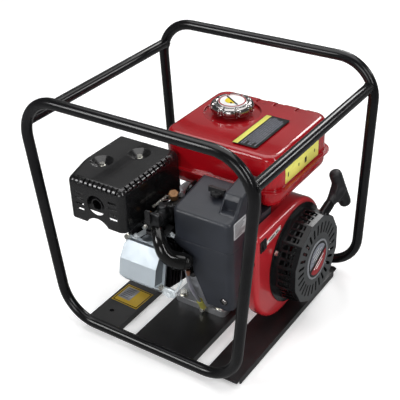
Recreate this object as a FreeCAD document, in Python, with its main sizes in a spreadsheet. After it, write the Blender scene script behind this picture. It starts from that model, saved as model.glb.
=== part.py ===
"""Petrol power unit of a portable fire pump in a tubular carrying frame.

Millimetres.  +X runs along the crankshaft towards the recoil starter, +Y from the muffler side
to the tank side, +Z up.  The origin is on the ground, in the middle of the frame's footprint.
"""
import FreeCAD, Part
import Sketcher
import math
import os

from FreeCAD import Placement, Rotation, Vector

DIMENSIONS = {
    # carrying frame
    "loop_width": 430.0, "loop_depth": 379.0, "loop_height": 411.0, "tube_dia": 18.0,
    "front_taper": 44.0, "rear_taper": 14.5, "bend_radius": 66.0,
    "crossbar_inset": 9.2, "crossbar_drop": 43.3,
    # base channels
    "plate_rise": 12.0, "plate_sheet": 2.5, "plate_length": 360.0, "plate_relief": 12.0,
    "left_plate_x": -110.6, "left_plate_width": 65.4,
    "middle_plate_x": 18.5, "middle_plate_width": 119.0,
    "right_plate_x": 139.3, "right_plate_width": 60.0,
    "plate_hole_radius": 4.5, "plate_hole_pitch": 278.0, "left_hole_shift": -6.4,
    # engine position and base casting
    "crank_y": 54.0, "crank_rise": 106.0, "bore_x": -22.0, "tilt": 12.0,
    "foot_x": 14.0, "foot_y": 35.0, "foot_pitch_x": 75.5, "foot_pitch_y": 162.0,
    "foot_width": 104.0, "foot_length": 180.0, "foot_thick": 12.0, "foot_hole_radius": 4.5,
    # crankcase and cylinder
    "case_left": -58.0, "case_right": 62.0, "case_front": -6.0, "case_back": 116.0, "case_top": 206.0,
    "case_wall": 10.0, "bore_radius": 34.0, "barrel_radius": 41.0,
    "barrel_start": 48.0, "deck": 163.8, "head_face": 165.0, "head_top": 205.0, "cover_top": 229.0,
    "fin_width": 90.0, "fin_height": 82.0, "fin_thick": 3.0, "fin_pitch": 9.0,
    # crankshaft
    "shaft_radius": 9.525, "shaft_end": -132.0, "flange_x": -75.0, "journal_radius": 12.5,
    "bearing_radius": 26.0, "bearing_width": 15.0, "web_radius": 36.0, "throw": 22.5, "pin_radius": 12.0,
    "flange_bolt_circle": 92.08, "flange_hole_radius": 3.4,
    # flywheel side
    "flywheel_radius": 72.0, "fan_radius": 70.0, "housing_right": 146.0, "housing_step": 124.5,
    "housing_radius": 98.0, "housing_sheet": 2.5,
    "recoil_face": 188.0, "recoil_back_radius": 82.0, "recoil_face_radius": 79.0, "pulley_radius": 32.0,
    "rope_angle": 15.2, "rope_radius": 2.0,
    # fuel tank
    "tank_left": -78.0, "tank_right": 141.0, "tank_front": -10.0, "tank_back": 182.0, "tank_flange": 7.0,
    "tank_bottom": 230.0, "tank_top": 327.0, "tank_sheet": 2.0, "cap_x": -10.0, "cap_y": 106.0,
    "cap_radius": 38.0, "cap_height": 17.0,
    # muffler
    "shield_left": -152.0, "shield_right": -40.0, "shield_front": -172.0, "shield_back": -19.0,
    "shield_bottom": 220.0, "shield_top": 297.0, "shield_sheet": 1.5,
    # air cleaner
    "filter_left": 13.0, "filter_right": 122.0, "filter_front": -118.0, "filter_back": -22.0,
    "filter_low": 92.0, "filter_mid": 178.0, "filter_seam": 204.0, "filter_top": 262.0,
    "filter_peak": 300.0, "filter_sheet": 2.5,
}

doc = FreeCAD.newDocument("fire_pump_engine")
sheet = doc.addObject("Spreadsheet::Sheet", "Size")
for number, (alias, value) in enumerate(DIMENSIONS.items(), start=1):
    sheet.set(f"A{number}", alias)
    sheet.set(f"B{number}", str(value))
    sheet.setAlias(f"B{number}", alias)
doc.recompute()

NODES = []
SMALL_BOLTS = []

# Fixed details, millimetres.  Crankcase, camshaft and crankshaft:
LOWEST_FIN = 72.0
BEARING_WALL = 18.0
FILLER_X, FILLER_Z = -30.0, 52.0
CAM_DISTANCE, CAM_ANGLE, CAM_JOURNAL = 48.0, 75.0, 6.0
TAPER_START, TAPER_END, TAPER_TIP = 68.0, 104.0, 9.0
# Ports are offsets along X from the cylinder's centre line; the plug is a distance up the bore:
INTAKE_OFFSET, EXHAUST_OFFSET, PORT_RISE = 14.0, -34.0, 31.0
PLUG_REACH, PLUG_OFFSET = 183.0, 12.0
# Carburettor, its intake neck and the fuel hose between y planes:
CARB_BACK, NECK_Y, NECK_Z = -66.0, -80.0, 234.0
HOSE_X, HOSE_LOW, HOSE_HIGH, HOSE_TANK_Y = -8.0, 226.0, 246.0, -24.0
HOSE_BORE, HOSE_BEND = 3.5, 12.0
FILTER_STUD_X, FILTER_STUD_Y = 67.0, -66.0
# Muffler shield: dishes round its two screws, and how far its left side bulges behind a corner:
SHIELD_DISHES = [(-132.0, -106.0), (-94.0, -54.0)]
DISH_FLOOR, DISH_RIM, DISH_DEPTH = 10.0, 23.0, 10.0
SHIELD_BULGE, BULGE_Y = 16.0, -112.0
# Blower housing: front, top and lower bend of its low part, then of the nose; stop switch:
HOUSING_LOW = (-57.0, 174.0, 80.0)
HOUSING_FRONT, HOUSING_BEND = -76.0, 90.0
SWITCH_Y, SWITCH_Z = -58.0, 197.0
# Starter rope plane, end of the rope guide and distance of the grip along the rope; the grip leans:
ROPE_X, GUIDE_END, GRIP_REACH, GRIP_RADIUS, GRIP_LEAN = 166.0, 98.0, 42.4, 12.0, 0.22
GRIP_HALF, WEB_HALF = 28.0, 8.0
# Plug cap, and the centre lines of the plug lead and of the earth wire:
BOOT_RADIUS, LEAD_BEND = 12.0, 12.0
HT_ROUTE = [(38, -112, 168), (37, -84, 162), (42, -50, 140), (58, -34, 124), (72, -32, 122)]
EARTH_ROUTE = [(47, -131, 165), (46, -126, 140), (42, -112, 108), (36, -90, 72), (28, -68, 40), (25, -57, 20)]


# ---------------------------------------------------------------- helpers
def size(alias):
    """Value of one driving dimension, from the sheet."""
    return float(sheet.get(alias))


GROUND_TOP = size("plate_rise")
CRANK = Vector(0, size("crank_y"), GROUND_TOP + size("crank_rise"))
TILT = math.radians(size("tilt"))
BORE_AXIS = Vector(0, -math.cos(TILT), math.sin(TILT))
BORE_UP = Vector(0, math.sin(TILT), math.cos(TILT))
ALONG_X, ALONG_Y, ALONG_Z = Vector(1, 0, 0), Vector(0, 1, 0), Vector(0, 0, 1)
PLUG_DIRECTION = Vector(0.94, -0.12, 0.32).normalize()


def node(item, label):
    """Registers a document object as an exported sub-part under its own label."""
    item.Label = label
    NODES.append(item)
    return item


def bind(item, **formulas):
    """Ties properties to formulas on the sheet; a double underscore stands for a dot."""
    for name, formula in formulas.items():
        item.setExpression(name.replace("__", "."), str(formula))
    return item


def place(item, x=0, y=0, z=0, turn=None):
    """Sets the rotation, then ties the position to formulas."""
    if turn is not None:
        item.Placement = Placement(Vector(), turn)
    return bind(item, Placement__Base__x=x, Placement__Base__y=y, Placement__Base__z=z)


TURN_Y = Rotation(ALONG_X, -90)


def rod(name, radius, length, x, y, z, turn=None):
    """Cylinder from (x, y, z), along +Z, or along +Y with TURN_Y."""
    item = doc.addObject("Part::Cylinder", name)
    bind(item, Radius=radius, Height=length)
    return place(item, x, y, z, turn)


def join(name, items):
    """Union of document objects."""
    item = doc.addObject("Part::MultiFuse", name)
    item.Shapes = items
    return item


def cut(name, base, *tools):
    """Document object with one or more others cut out of it."""
    item = doc.addObject("Part::Cut", name)
    item.Base = base
    item.Tool = tools[0] if len(tools) == 1 else join(name + "_tools", list(tools))
    return item


def feature(name, shape):
    """Sub-part whose shape is made here from the sheet's sizes."""
    item = doc.addObject("Part::Feature", name)
    item.Shape = shape
    return item


def block(x0, x1, y0, y1, z0, z1):
    """Solid box between six planes."""
    return Part.makeBox(x1 - x0, y1 - y0, z1 - z0, Vector(x0, y0, z0))


def bar(radius, start, end):
    """Solid round bar between two points."""
    start, end = Vector(*start), Vector(*end)
    return Part.makeCylinder(radius, (end - start).Length, start, end - start)


def fuse(shapes):
    """One solid of several, with the seams between flush faces removed."""
    return shapes[0].multiFuse(shapes[1:]).removeSplitter() if len(shapes) > 1 else shapes[0]


def group(shapes):
    """Several separate solids kept as one compound."""
    return Part.makeCompound(shapes)


def rounded(shape, radius, wanted):
    """Fillets the edges that the given test accepts."""
    return shape.makeFillet(radius, [edge for edge in shape.Edges if wanted(edge)])


def runs_along(direction):
    """Edge test: straight and parallel to a direction."""
    def test(edge):
        if edge.Curve.TypeId != "Part::GeomLine":
            return False
        return abs(abs(edge.tangentAt(edge.FirstParameter).dot(direction)) - 1) < 1e-6
    return test


def at_height(z):
    """Edge test: lies wholly in the level plane z."""
    return lambda edge: abs(edge.BoundBox.ZMin - z) < 1e-4 and abs(edge.BoundBox.ZMax - z) < 1e-4


def slab(points, direction):
    """Prism on a closed polygon."""
    return Part.Face(Part.makePolygon([Vector(*p) for p in points + points[:1]])).extrude(direction)


def rounded_path(points, radius, closed=False):
    """Straight runs joined by tangent arcs, through corner points."""
    points = [Vector(*p) for p in points]
    count = len(points)
    corners = range(count) if closed else range(1, count - 1)
    arcs = {}
    for index in corners:
        corner = points[index]
        before = (points[index - 1] - corner).normalize()
        after = (points[(index + 1) % count] - corner).normalize()
        half = before.getAngle(after) / 2
        reach = radius / math.tan(half)
        middle = corner + (before + after).normalize() * (radius / math.sin(half) - radius)
        arcs[index] = (corner + before * reach, middle, corner + after * reach)
    edges = []
    start = arcs[0][2] if closed else points[0]
    order = list(range(1, count)) + ([0] if closed else [])
    for index in order:
        if index in arcs:
            entry, middle, leave = arcs[index]
            edges += [Part.makeLine(start, entry), Part.Arc(entry, middle, leave).toShape()]
            start = leave
        else:
            edges.append(Part.makeLine(start, points[index]))
    return Part.Wire(edges)


def tube(path, radius):
    """Round solid swept along a path of tangent lines and arcs."""
    first = path.OrderedEdges[0]
    start = first.valueAt(first.FirstParameter)
    ring = Part.Wire(Part.makeCircle(radius, start, first.tangentAt(first.FirstParameter)))
    return path.makePipeShell([ring], True, False)


def along_bore(distance, x=0.0, up=0.0):
    """Point at a distance from the crank axis along the cylinder, x off its centre line."""
    centre = Vector(size("bore_x") + x, CRANK.y, CRANK.z)
    return centre + BORE_AXIS * distance + BORE_UP * up


def bore_block(start, end, x0, x1, up0, up1):
    """Box square to the cylinder axis."""
    corners = [along_bore(start, x, up) for x, up in ((x0, up0), (x1, up0), (x1, up1), (x0, up1))]
    return slab([tuple(c) for c in corners], BORE_AXIS * (end - start))


def hexagon(across_flats, start, direction, length):
    """Hexagonal prism, for bolt heads and nuts."""
    turn = Rotation(ALONG_Z, direction)
    reach = across_flats / math.sqrt(3)
    corners = [start + turn.multVec(Vector(reach * math.cos(a), reach * math.sin(a), 0))
               for a in (math.radians(60 * k) for k in range(6))]
    return slab([tuple(c) for c in corners], direction * length)


def bolt(head_at, direction, flats, head, radius, length):
    """Hex bolt with a washer; the shank runs from head_at along the direction."""
    washer = Part.makeCylinder(flats * 0.62, 1.2, head_at, direction * -1)
    shank = Part.makeCylinder(radius, length, head_at, direction)
    return fuse([hexagon(flats, head_at - direction * 1.2, direction * -1, head), washer, shank])


def ring(outer, inner, x, width):
    """Ring about the crank axis."""
    solid = bar(outer, (x, CRANK.y, CRANK.z), (x + width, CRANK.y, CRANK.z))
    return solid.cut(bar(inner, (x - 1, CRANK.y, CRANK.z), (x + width + 1, CRANK.y, CRANK.z)))


def ring_on(outer, inner, start, way, width):
    """Ring on any axis."""
    return bar(outer, start, start + way * width).cut(bar(inner, start - way, start + way * (width + 1)))


def ngon(radius, x, sides, turn=0.0):
    """Corners of a regular polygon about the crank axis."""
    angles = [math.radians(360 / sides * k + turn) for k in range(sides)]
    return [(x, CRANK.y + radius * math.cos(a), CRANK.z + radius * math.sin(a)) for a in angles]


def wire(points):
    """Closed polygon."""
    return Part.makePolygon([Vector(*p) for p in points + points[:1]])


def port_base(offset):
    """Foot of a port boss on top of the head."""
    return along_bore(185, offset, 22)


def cam_centre():
    """Point where the camshaft's axis meets the cylinder's plane."""
    angle = math.radians(CAM_ANGLE)
    return CRANK + Vector(0, CAM_DISTANCE * math.cos(angle), CAM_DISTANCE * math.sin(angle))


def find(label):
    """Exported sub-part with a given label."""
    return next(item for item in NODES if item.Label == label)


def fit_small_bolt(head_at, direction, shape, label):
    """Adds one of the M5 flange bolts and drills it through the shape and the node below it."""
    screw = bolt(head_at, direction, 8, 4, 2.5, 12)
    SMALL_BOLTS.append(screw)
    below = find(label)
    below.Shape = below.Shape.cut(screw)
    return shape.cut(screw)


def origin_plane(body, role):
    """Plane or axis of a body's origin, by its role."""
    return next(item for item in body.Origin.OriginFeatures if item.Role == role)


def new_body(name):
    return doc.addObject("PartDesign::Body", name)


def new_sketch(body, name, role, offset=0.0):
    """Sketch on one of the body's origin planes, moved along that plane's normal."""
    sketch = body.newObject("Sketcher::SketchObject", name)
    sketch.AttachmentSupport = (origin_plane(body, role), "")
    sketch.MapMode = "FlatFace"
    sketch.AttachmentOffset = Placement(Vector(0, 0, offset), Rotation())
    return sketch


def draw_polygon(sketch, points):
    """Closed run of straight lines."""
    ends = points[1:] + points[:1]
    for start, end in zip(points, ends):
        sketch.addGeometry(Part.LineSegment(Vector(*start, 0), Vector(*end, 0)))


def draw_circle(sketch, formula, radius, x=0.0, y=0.0):
    """Circle whose radius follows a formula on the sheet."""
    index = sketch.addGeometry(Part.Circle(Vector(x, y, 0), ALONG_Z, radius))
    constraint = sketch.addConstraint(Sketcher.Constraint("Radius", index, radius))
    sketch.setExpression(f"Constraints[{constraint}]", formula)


def pad(body, name, sketch, length, both_ways=False):
    """Extrusion of a sketch, its length a formula on the sheet."""
    item = body.newObject("PartDesign::Pad", name)
    item.Profile = sketch
    bind(item, Length=length)
    item.Midplane = both_ways
    return item


# ---------------------------------------------------------------- carrying frame
def loop_corners(taper, y):
    """Corners of one end loop, narrower at the ground."""
    half = size("loop_width") / 2
    low = GROUND_TOP + size("tube_dia") / 2
    high = low + size("loop_height")
    return [(-half + taper, y, low), (half - taper, y, low), (half, y, high), (-half, y, high)]


def make_frame():
    """Two upright tube loops, joined near the top by two crossbars."""
    radius = size("tube_dia") / 2
    half_depth = size("loop_depth") / 2
    loops = {"front_loop": (size("front_taper"), -half_depth), "rear_loop": (size("rear_taper"), half_depth)}
    for name, (taper, y) in loops.items():
        path = rounded_path(loop_corners(taper, y), size("bend_radius"), closed=True)
        node(feature(name, tube(path, radius)), name)
    for name, side in (("left_crossbar", -1), ("right_crossbar", 1)):
        crossbar = rod(name + "_tube", "Size.tube_dia / 2", "Size.loop_depth",
                       f"{side} * (Size.loop_width / 2 - Size.crossbar_inset)", "-Size.loop_depth / 2",
                       "Size.plate_rise + Size.tube_dia / 2 + Size.loop_height - Size.crossbar_drop", TURN_Y)
        coped = cut(name, crossbar, *[item for item in NODES if item.Label in loops])
        node(coped, name)


def make_plate(name, centre, width, holes):
    """Channel with its flanges down; the flanges stop short of the frame's tubes."""
    body = new_body(name)
    half_width = size(width) / 2
    half_length = size("plate_length") / 2
    top = new_sketch(body, name + "_top", "XY_Plane")
    draw_polygon(top, [(-half_width, -half_length), (half_width, -half_length),
                       (half_width, half_length), (-half_width, half_length)])
    pad(body, name + "_web", top, "Size.plate_sheet").Reversed = True
    sheet_thick = size("plate_sheet")
    reach = half_length - size("plate_relief")
    flanges = new_sketch(body, name + "_flange_lines", "XY_Plane")
    for side in (-1, 1):
        draw_polygon(flanges, [(side * half_width, -reach), (side * (half_width - sheet_thick), -reach),
                               (side * (half_width - sheet_thick), reach), (side * half_width, reach)])
    pad(body, name + "_flanges", flanges, "Size.plate_rise").Reversed = True
    doc.recompute()
    drilling = new_sketch(body, name + "_drilling", "XY_Plane")
    for x, y, formula, radius in holes:
        draw_circle(drilling, formula, radius, x, y)
    pocket = body.newObject("PartDesign::Pocket", name + "_holes")
    pocket.Profile = drilling
    pocket.Type = "ThroughAll"
    pocket.Midplane = True
    place(body, centre, 0, "Size.plate_rise")
    return node(body, name)


def make_plates():
    """Three channels across the loops' feet; the engine stands on the middle one."""
    pitch = size("plate_hole_pitch") / 2
    radius = size("plate_hole_radius")
    shift = size("left_hole_shift")
    left_holes = [(shift, sign * pitch, "Size.plate_hole_radius", radius) for sign in (-1, 1)]
    right_holes = [(-shift, sign * pitch, "Size.plate_hole_radius", radius) for sign in (-1, 1)]
    foot_holes = [(size("foot_x") - size("middle_plate_x") + sx * size("foot_pitch_x") / 2,
                   size("foot_y") + sy * size("foot_pitch_y") / 2,
                   "Size.foot_hole_radius", size("foot_hole_radius"))
                  for sx in (-1, 1) for sy in (-1, 1)]
    make_plate("left_plate", "Size.left_plate_x", "left_plate_width", left_holes)
    make_plate("middle_plate", "Size.middle_plate_x", "middle_plate_width", foot_holes)
    make_plate("right_plate", "Size.right_plate_x", "right_plate_width", right_holes)


def make_engine_bolts():
    """M8 bolts through the engine's feet and the middle channel, with nuts under it."""
    solids = []
    top = GROUND_TOP + size("foot_thick") + 1.2
    for sx in (-1, 1):
        for sy in (-1, 1):
            x = size("foot_x") + sx * size("foot_pitch_x") / 2
            y = size("foot_y") + sy * size("foot_pitch_y") / 2
            screw = bolt(Vector(x, y, top - 1.2), Vector(0, 0, -1), 13, 5.5, 4, size("foot_thick") + 10)
            nut = hexagon(13, Vector(x, y, GROUND_TOP - size("plate_sheet")), Vector(0, 0, -1), 6.5)
            solids.append(fuse([screw, nut]))
    node(feature("engine_bolts", group(solids)), "engine_bolts")


# ---------------------------------------------------------------- crankcase and cylinder
def make_cylinder_block():
    """Crankcase on its foot, with the finned barrel leaning forwards out of it."""
    left, right = size("case_left"), size("case_right")
    front, back, top = size("case_front"), size("case_back"), size("case_top")
    wall = size("case_wall")
    foot_x, foot_y = size("foot_x"), size("foot_y")
    case = block(left, right, front, back, GROUND_TOP + 4, top)
    case = rounded(case, 20, runs_along(ALONG_X))
    foot = block(foot_x - size("foot_width") / 2, foot_x + size("foot_width") / 2,
                 foot_y - size("foot_length") / 2, foot_y + size("foot_length") / 2,
                 GROUND_TOP, GROUND_TOP + size("foot_thick"))
    foot = rounded(foot, 8, runs_along(ALONG_Z))
    barrel = Part.makeCylinder(size("barrel_radius"), size("deck") - size("barrel_start"),
                               along_bore(size("barrel_start")), BORE_AXIS)
    half, tall, thick = size("fin_width") / 2, size("fin_height") / 2, size("fin_thick")
    fins = []
    reach = size("deck") - thick
    while reach > LOWEST_FIN:
        fin = bore_block(reach, reach + thick, -half, half, -tall, tall)
        fins.append(rounded(fin, 9, runs_along(BORE_AXIS)))
        reach -= size("fin_pitch")
    solid = fuse([case, foot, barrel] + fins)
    inner_face = right - BEARING_WALL
    cavity = block(left - 1, inner_face, front + wall, back - wall, GROUND_TOP + 20, top - 8)
    bore = Part.makeCylinder(size("bore_radius"), size("deck"), along_bore(10), BORE_AXIS)
    bearing = bar(size("bearing_radius"), (inner_face - 1, CRANK.y, CRANK.z), (right - 1, CRANK.y, CRANK.z))
    passage = bar(size("journal_radius") + 1.5, (right - 2, CRANK.y, CRANK.z), (right + 1, CRANK.y, CRANK.z))
    cam = cam_centre()
    cam_bearing = bar(CAM_JOURNAL + 0.06, (inner_face - 1, cam.y, cam.z), (inner_face + 7, cam.y, cam.z))
    filler = bar(10, (FILLER_X, front - 1, FILLER_Z), (FILLER_X, front + wall + 1, FILLER_Z))
    solid = solid.cut(fuse([cavity, bore])).cut(bearing).cut(passage).cut(filler).cut(cam_bearing)
    for sx in (-1, 1):
        for sy in (-1, 1):
            x = foot_x + sx * size("foot_pitch_x") / 2
            y = foot_y + sy * size("foot_pitch_y") / 2
            solid = solid.cut(bar(size("foot_hole_radius"), (x, y, 0), (x, y, 40)))
            seat = GROUND_TOP + size("foot_thick")
            solid = solid.cut(bar(9.5, (x, y, seat), (x, y, seat + 7.5)))
    solid = solid.cut(block(left - 10, left, front - 0.4, back, GROUND_TOP, top))
    node(feature("cylinder_block", solid), "cylinder_block")


def make_crankcase_cover():
    """Cover on the shaft side, with the flange that a pump is bolted to."""
    left = size("case_left")
    face = size("flange_x")
    front, back, top = size("case_front"), size("case_back"), size("case_top")
    plate = rounded(block(left - 8, left, front, back, GROUND_TOP + 4, top), 20, runs_along(ALONG_X))
    boss = bar(60, (face, CRANK.y, CRANK.z), (left - 4, CRANK.y, CRANK.z))
    solid = plate.fuse(boss).removeSplitter()
    bearing = bar(size("bearing_radius"), (left - size("bearing_width"), CRANK.y, CRANK.z),
                  (left + 1, CRANK.y, CRANK.z))
    passage = bar(size("journal_radius") + 1.5, (face - 1, CRANK.y, CRANK.z), (left, CRANK.y, CRANK.z))
    cam = cam_centre()
    cam_bearing = bar(CAM_JOURNAL + 0.06, (left - 5.5, cam.y, cam.z), (left + 1, cam.y, cam.z))
    solid = solid.cut(bearing).cut(passage).cut(cam_bearing)
    for turn in (45, 135, 225, 315):
        angle = math.radians(turn)
        y = CRANK.y + size("flange_bolt_circle") / 2 * math.cos(angle)
        z = CRANK.z + size("flange_bolt_circle") / 2 * math.sin(angle)
        solid = solid.cut(bar(size("flange_hole_radius"), (face - 1, y, z), (face + 15, y, z)))
    screws = []
    for y, z in ((6, 34), (104, 34), (6, 192), (104, 192), (2, 100), (108, 100)):
        screws.append(bolt(Vector(left - 8, y, z), ALONG_X, 10, 5, 3, 6))
    for screw in screws:
        solid = solid.cut(screw)
    node(feature("crankcase_cover", solid), "crankcase_cover")
    node(feature("cover_bolts", group(screws)), "cover_bolts")


def make_bearings():
    """Plain rings in the cover and in the crankcase wall."""
    width = size("bearing_width")
    bore = size("journal_radius") + 0.05
    outer = size("bearing_radius")
    left, right = size("case_left") - width, size("case_right") - 17
    node(feature("main_bearings", group([ring(outer, bore, left, width),
                                         ring(outer, bore, right, width)])), "main_bearings")


def make_crankshaft():
    """Drive end, journals, webs and crankpin, with a taper and a stud for the flywheel."""
    journal = size("journal_radius")
    centre = size("bore_x")
    pin = CRANK + BORE_AXIS * size("throw")
    flange = size("flange_x")
    pieces = [
        bar(size("shaft_radius"), (size("shaft_end"), CRANK.y, CRANK.z), (flange, CRANK.y, CRANK.z)),
        bar(journal, (flange - 0.5, CRANK.y, CRANK.z), (centre - 23, CRANK.y, CRANK.z)),
        bar(size("web_radius"), (centre - 23, CRANK.y, CRANK.z), (centre - 11, CRANK.y, CRANK.z)),
        bar(size("pin_radius"), (centre - 11, pin.y, pin.z), (centre + 11, pin.y, pin.z)),
        bar(size("web_radius"), (centre + 11, CRANK.y, CRANK.z), (centre + 23, CRANK.y, CRANK.z)),
        bar(journal, (centre + 23, CRANK.y, CRANK.z), (TAPER_START, CRANK.y, CRANK.z)),
        Part.makeCone(journal, TAPER_TIP, TAPER_END - TAPER_START,
                      Vector(TAPER_START, CRANK.y, CRANK.z), ALONG_X),
        bar(6, (TAPER_END, CRANK.y, CRANK.z), (TAPER_END + 15, CRANK.y, CRANK.z)),
    ]
    end = size("shaft_end")
    shaft = fuse(pieces).cut(bar(3.4, (end - 1, CRANK.y, CRANK.z), (end + 25, CRANK.y, CRANK.z)))
    keyway = block(end + 4, end + 44, CRANK.y - 2.4, CRANK.y + 2.4,
                   CRANK.z + size("shaft_radius") - 2.6, CRANK.z + size("shaft_radius") + 2)
    node(feature("crankshaft", shaft.cut(keyway)), "crankshaft")


def make_timing():
    """Half-speed camshaft: the gears are plain discs, a little inside their pitch circles."""
    cam = cam_centre()
    gear_x = size("case_left") + 2
    crank_gear = ring(CAM_DISTANCE / 3 - 0.3, size("journal_radius"), gear_x, 7)
    node(feature("crank_gear", crank_gear), "crank_gear")
    centre = size("bore_x")
    right_end = size("case_right") - BEARING_WALL + 6
    solids = [bar(CAM_JOURNAL, (size("case_left") - 5, cam.y, cam.z), (right_end, cam.y, cam.z)),
              bar(CAM_DISTANCE * 2 / 3 - 0.3, (gear_x, cam.y, cam.z), (gear_x + 7, cam.y, cam.z))]
    for x, lobe in ((centre - 8, 60), (centre + 2, 170)):
        y = cam.y + 4.5 * math.cos(math.radians(lobe))
        z = cam.z + 4.5 * math.sin(math.radians(lobe))
        solids.append(bar(9, (x, cam.y, cam.z), (x + 6, cam.y, cam.z)))
        solids.append(bar(6, (x, y, z), (x + 6, y, z)))
    node(feature("camshaft", fuse(solids)), "camshaft")


def make_piston():
    """Piston at the top of its stroke, its pin, and the rod ending above the crankpin's path."""
    crown = 162.0
    radius = size("bore_radius") - 0.05
    piston = Part.makeCylinder(radius, 38, along_bore(crown - 38), BORE_AXIS)
    hollow = Part.makeCylinder(radius - 5, 30, along_bore(crown - 39), BORE_AXIS)
    piston = piston.cut(hollow)
    for down in (5, 9, 14):
        groove = Part.makeCylinder(radius + 1, 2, along_bore(crown - down - 2), BORE_AXIS)
        groove = groove.cut(Part.makeCylinder(radius - 2.5, 2, along_bore(crown - down - 2), BORE_AXIS))
        piston = piston.cut(groove)
    wrist = along_bore(crown - 24)
    pin = Part.makeCylinder(8, 56, wrist - ALONG_X * 28, ALONG_X)
    bosses = []
    for side in (-1, 1):
        start = wrist + ALONG_X * (side * 13)
        bosses.append(Part.makeCylinder(12, 17, start, ALONG_X * side))
    inside = Part.makeCylinder(radius - 1, 38, along_bore(crown - 38), BORE_AXIS)
    piston = fuse([piston] + [boss.common(inside) for boss in bosses]).cut(pin)
    node(feature("piston", piston), "piston")
    node(feature("wrist_pin", pin), "wrist_pin")
    small_end = Part.makeCylinder(13, 20, wrist - ALONG_X * 10, ALONG_X)
    shank = bore_block(39, crown - 34, -5, 5, -8, 8)
    saddle = bore_block(39, 45, -9, 9, -16, 16)
    conrod = fuse([small_end, shank, saddle]).cut(Part.makeCylinder(8, 22, wrist - ALONG_X * 11, ALONG_X))
    node(feature("connecting_rod", conrod), "connecting_rod")


# ---------------------------------------------------------------- head and valve cover
def make_head():
    """Gasket and finned head, with two ports on top and the plug's seat on the right."""
    face, top = size("head_face"), size("head_top")
    gasket = bore_block(size("deck"), face, -44, 44, -40, 40)
    hole = Part.makeCylinder(size("bore_radius"), 10, along_bore(size("deck") - 2), BORE_AXIS)
    node(feature("head_gasket", gasket.cut(hole)), "head_gasket")
    core = rounded(bore_block(face, top, -38, 38, -36, 36), 6, runs_along(BORE_AXIS))
    fins = [bore_block(face + 3 + k * 9, face + 6 + k * 9, -45, 45, -41, 41) for k in range(4)]
    intake, exhaust = port_base(INTAKE_OFFSET), port_base(EXHAUST_OFFSET)
    bosses = [bar(15, intake, intake + ALONG_Z * PORT_RISE), bar(12, exhaust, exhaust + ALONG_Z * PORT_RISE)]
    solid = fuse([core] + [rounded(fin, 7, runs_along(BORE_AXIS)) for fin in fins] + bosses)
    chamber = Part.makeSphere(40, along_bore(face - 24))
    solid = solid.cut(chamber)
    for base, radius in ((intake, 9), (exhaust, 8)):
        solid = solid.cut(bar(radius, base - ALONG_Z * 8, base + ALONG_Z * (PORT_RISE + 1)))
    seat = along_bore(PLUG_REACH, PLUG_OFFSET, 0)
    solid = solid.cut(bar(7, seat, seat + PLUG_DIRECTION * 60))
    solid = solid.cut(bar(12.6, seat + PLUG_DIRECTION * 26, seat + PLUG_DIRECTION * 60))
    node(feature("cylinder_head", solid), "cylinder_head")


def make_valve_cover():
    """Cover with a sloped upper face and cut corners, on a screwed flange."""
    start, front = size("head_top"), size("cover_top")
    left, right = -36, 36
    outline = [(start, -33), (front - 4, -33), (front, -28), (front, 3), (front - 12, 33), (start, 33)]
    shell = slab([tuple(along_bore(s, left, up)) for s, up in outline], ALONG_X * (right - left))
    turn = Placement(Vector(), Rotation(BORE_AXIS, 45), along_bore(0))
    for side in (-1, 1):
        for up in (-1, 1):
            corner = bore_block(start - 1, front + 1, -5, 5, -5, 5).transformGeometry(turn.toMatrix())
            corner.translate(ALONG_X * (side * right) + BORE_UP * (up * 33))
            shell = shell.cut(corner)
    shell = shell.cut(bore_block(start - 1, front - 14, -31, 31, -27, 27))
    flange = rounded(bore_block(start, start + 4, -41, 41, -38, 38), 8, runs_along(BORE_AXIS))
    flange = flange.cut(bore_block(start - 1, start + 5, -31, 31, -27, 27))
    solid = fuse([shell, flange])
    for x, up in ((-37, -34), (37, -34), (-37, 34), (37, 34)):
        solid = fit_small_bolt(along_bore(start + 4, x, up), BORE_AXIS * -1, solid, "cylinder_head")
    node(feature("valve_cover", solid), "valve_cover")


def make_spark_plug():
    """Spark plug, and the rubber cap on it with its clip for the earth wire."""
    seat = along_bore(PLUG_REACH, PLUG_OFFSET, 0)
    way = PLUG_DIRECTION
    plug = fuse([bar(6.9, seat + way * 8, seat + way * 27), bar(9, seat + way * 26.5, seat + way * 31),
                 hexagon(20.8, seat + way * 31, way, 8), bar(6, seat + way * 39, seat + way * 50),
                 bar(3, seat + way * 50, seat + way * 57)])
    cap = fuse([bar(BOOT_RADIUS, seat + way * 41, seat + way * 66),
                bar(8, seat + way * 55, Vector(*HT_ROUTE[0]))])
    cap = cap.cut(bar(6, seat + way * 40, seat + way * 50)).cut(bar(3, seat + way * 50, seat + way * 57))
    clip = ring_on(BOOT_RADIUS + 1.5, BOOT_RADIUS, seat + way * 61, way, 4)
    node(feature("spark_plug", plug), "spark_plug")
    node(feature("spark_plug_cap", cap.fuse(clip).removeSplitter()), "spark_plug_cap")


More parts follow.
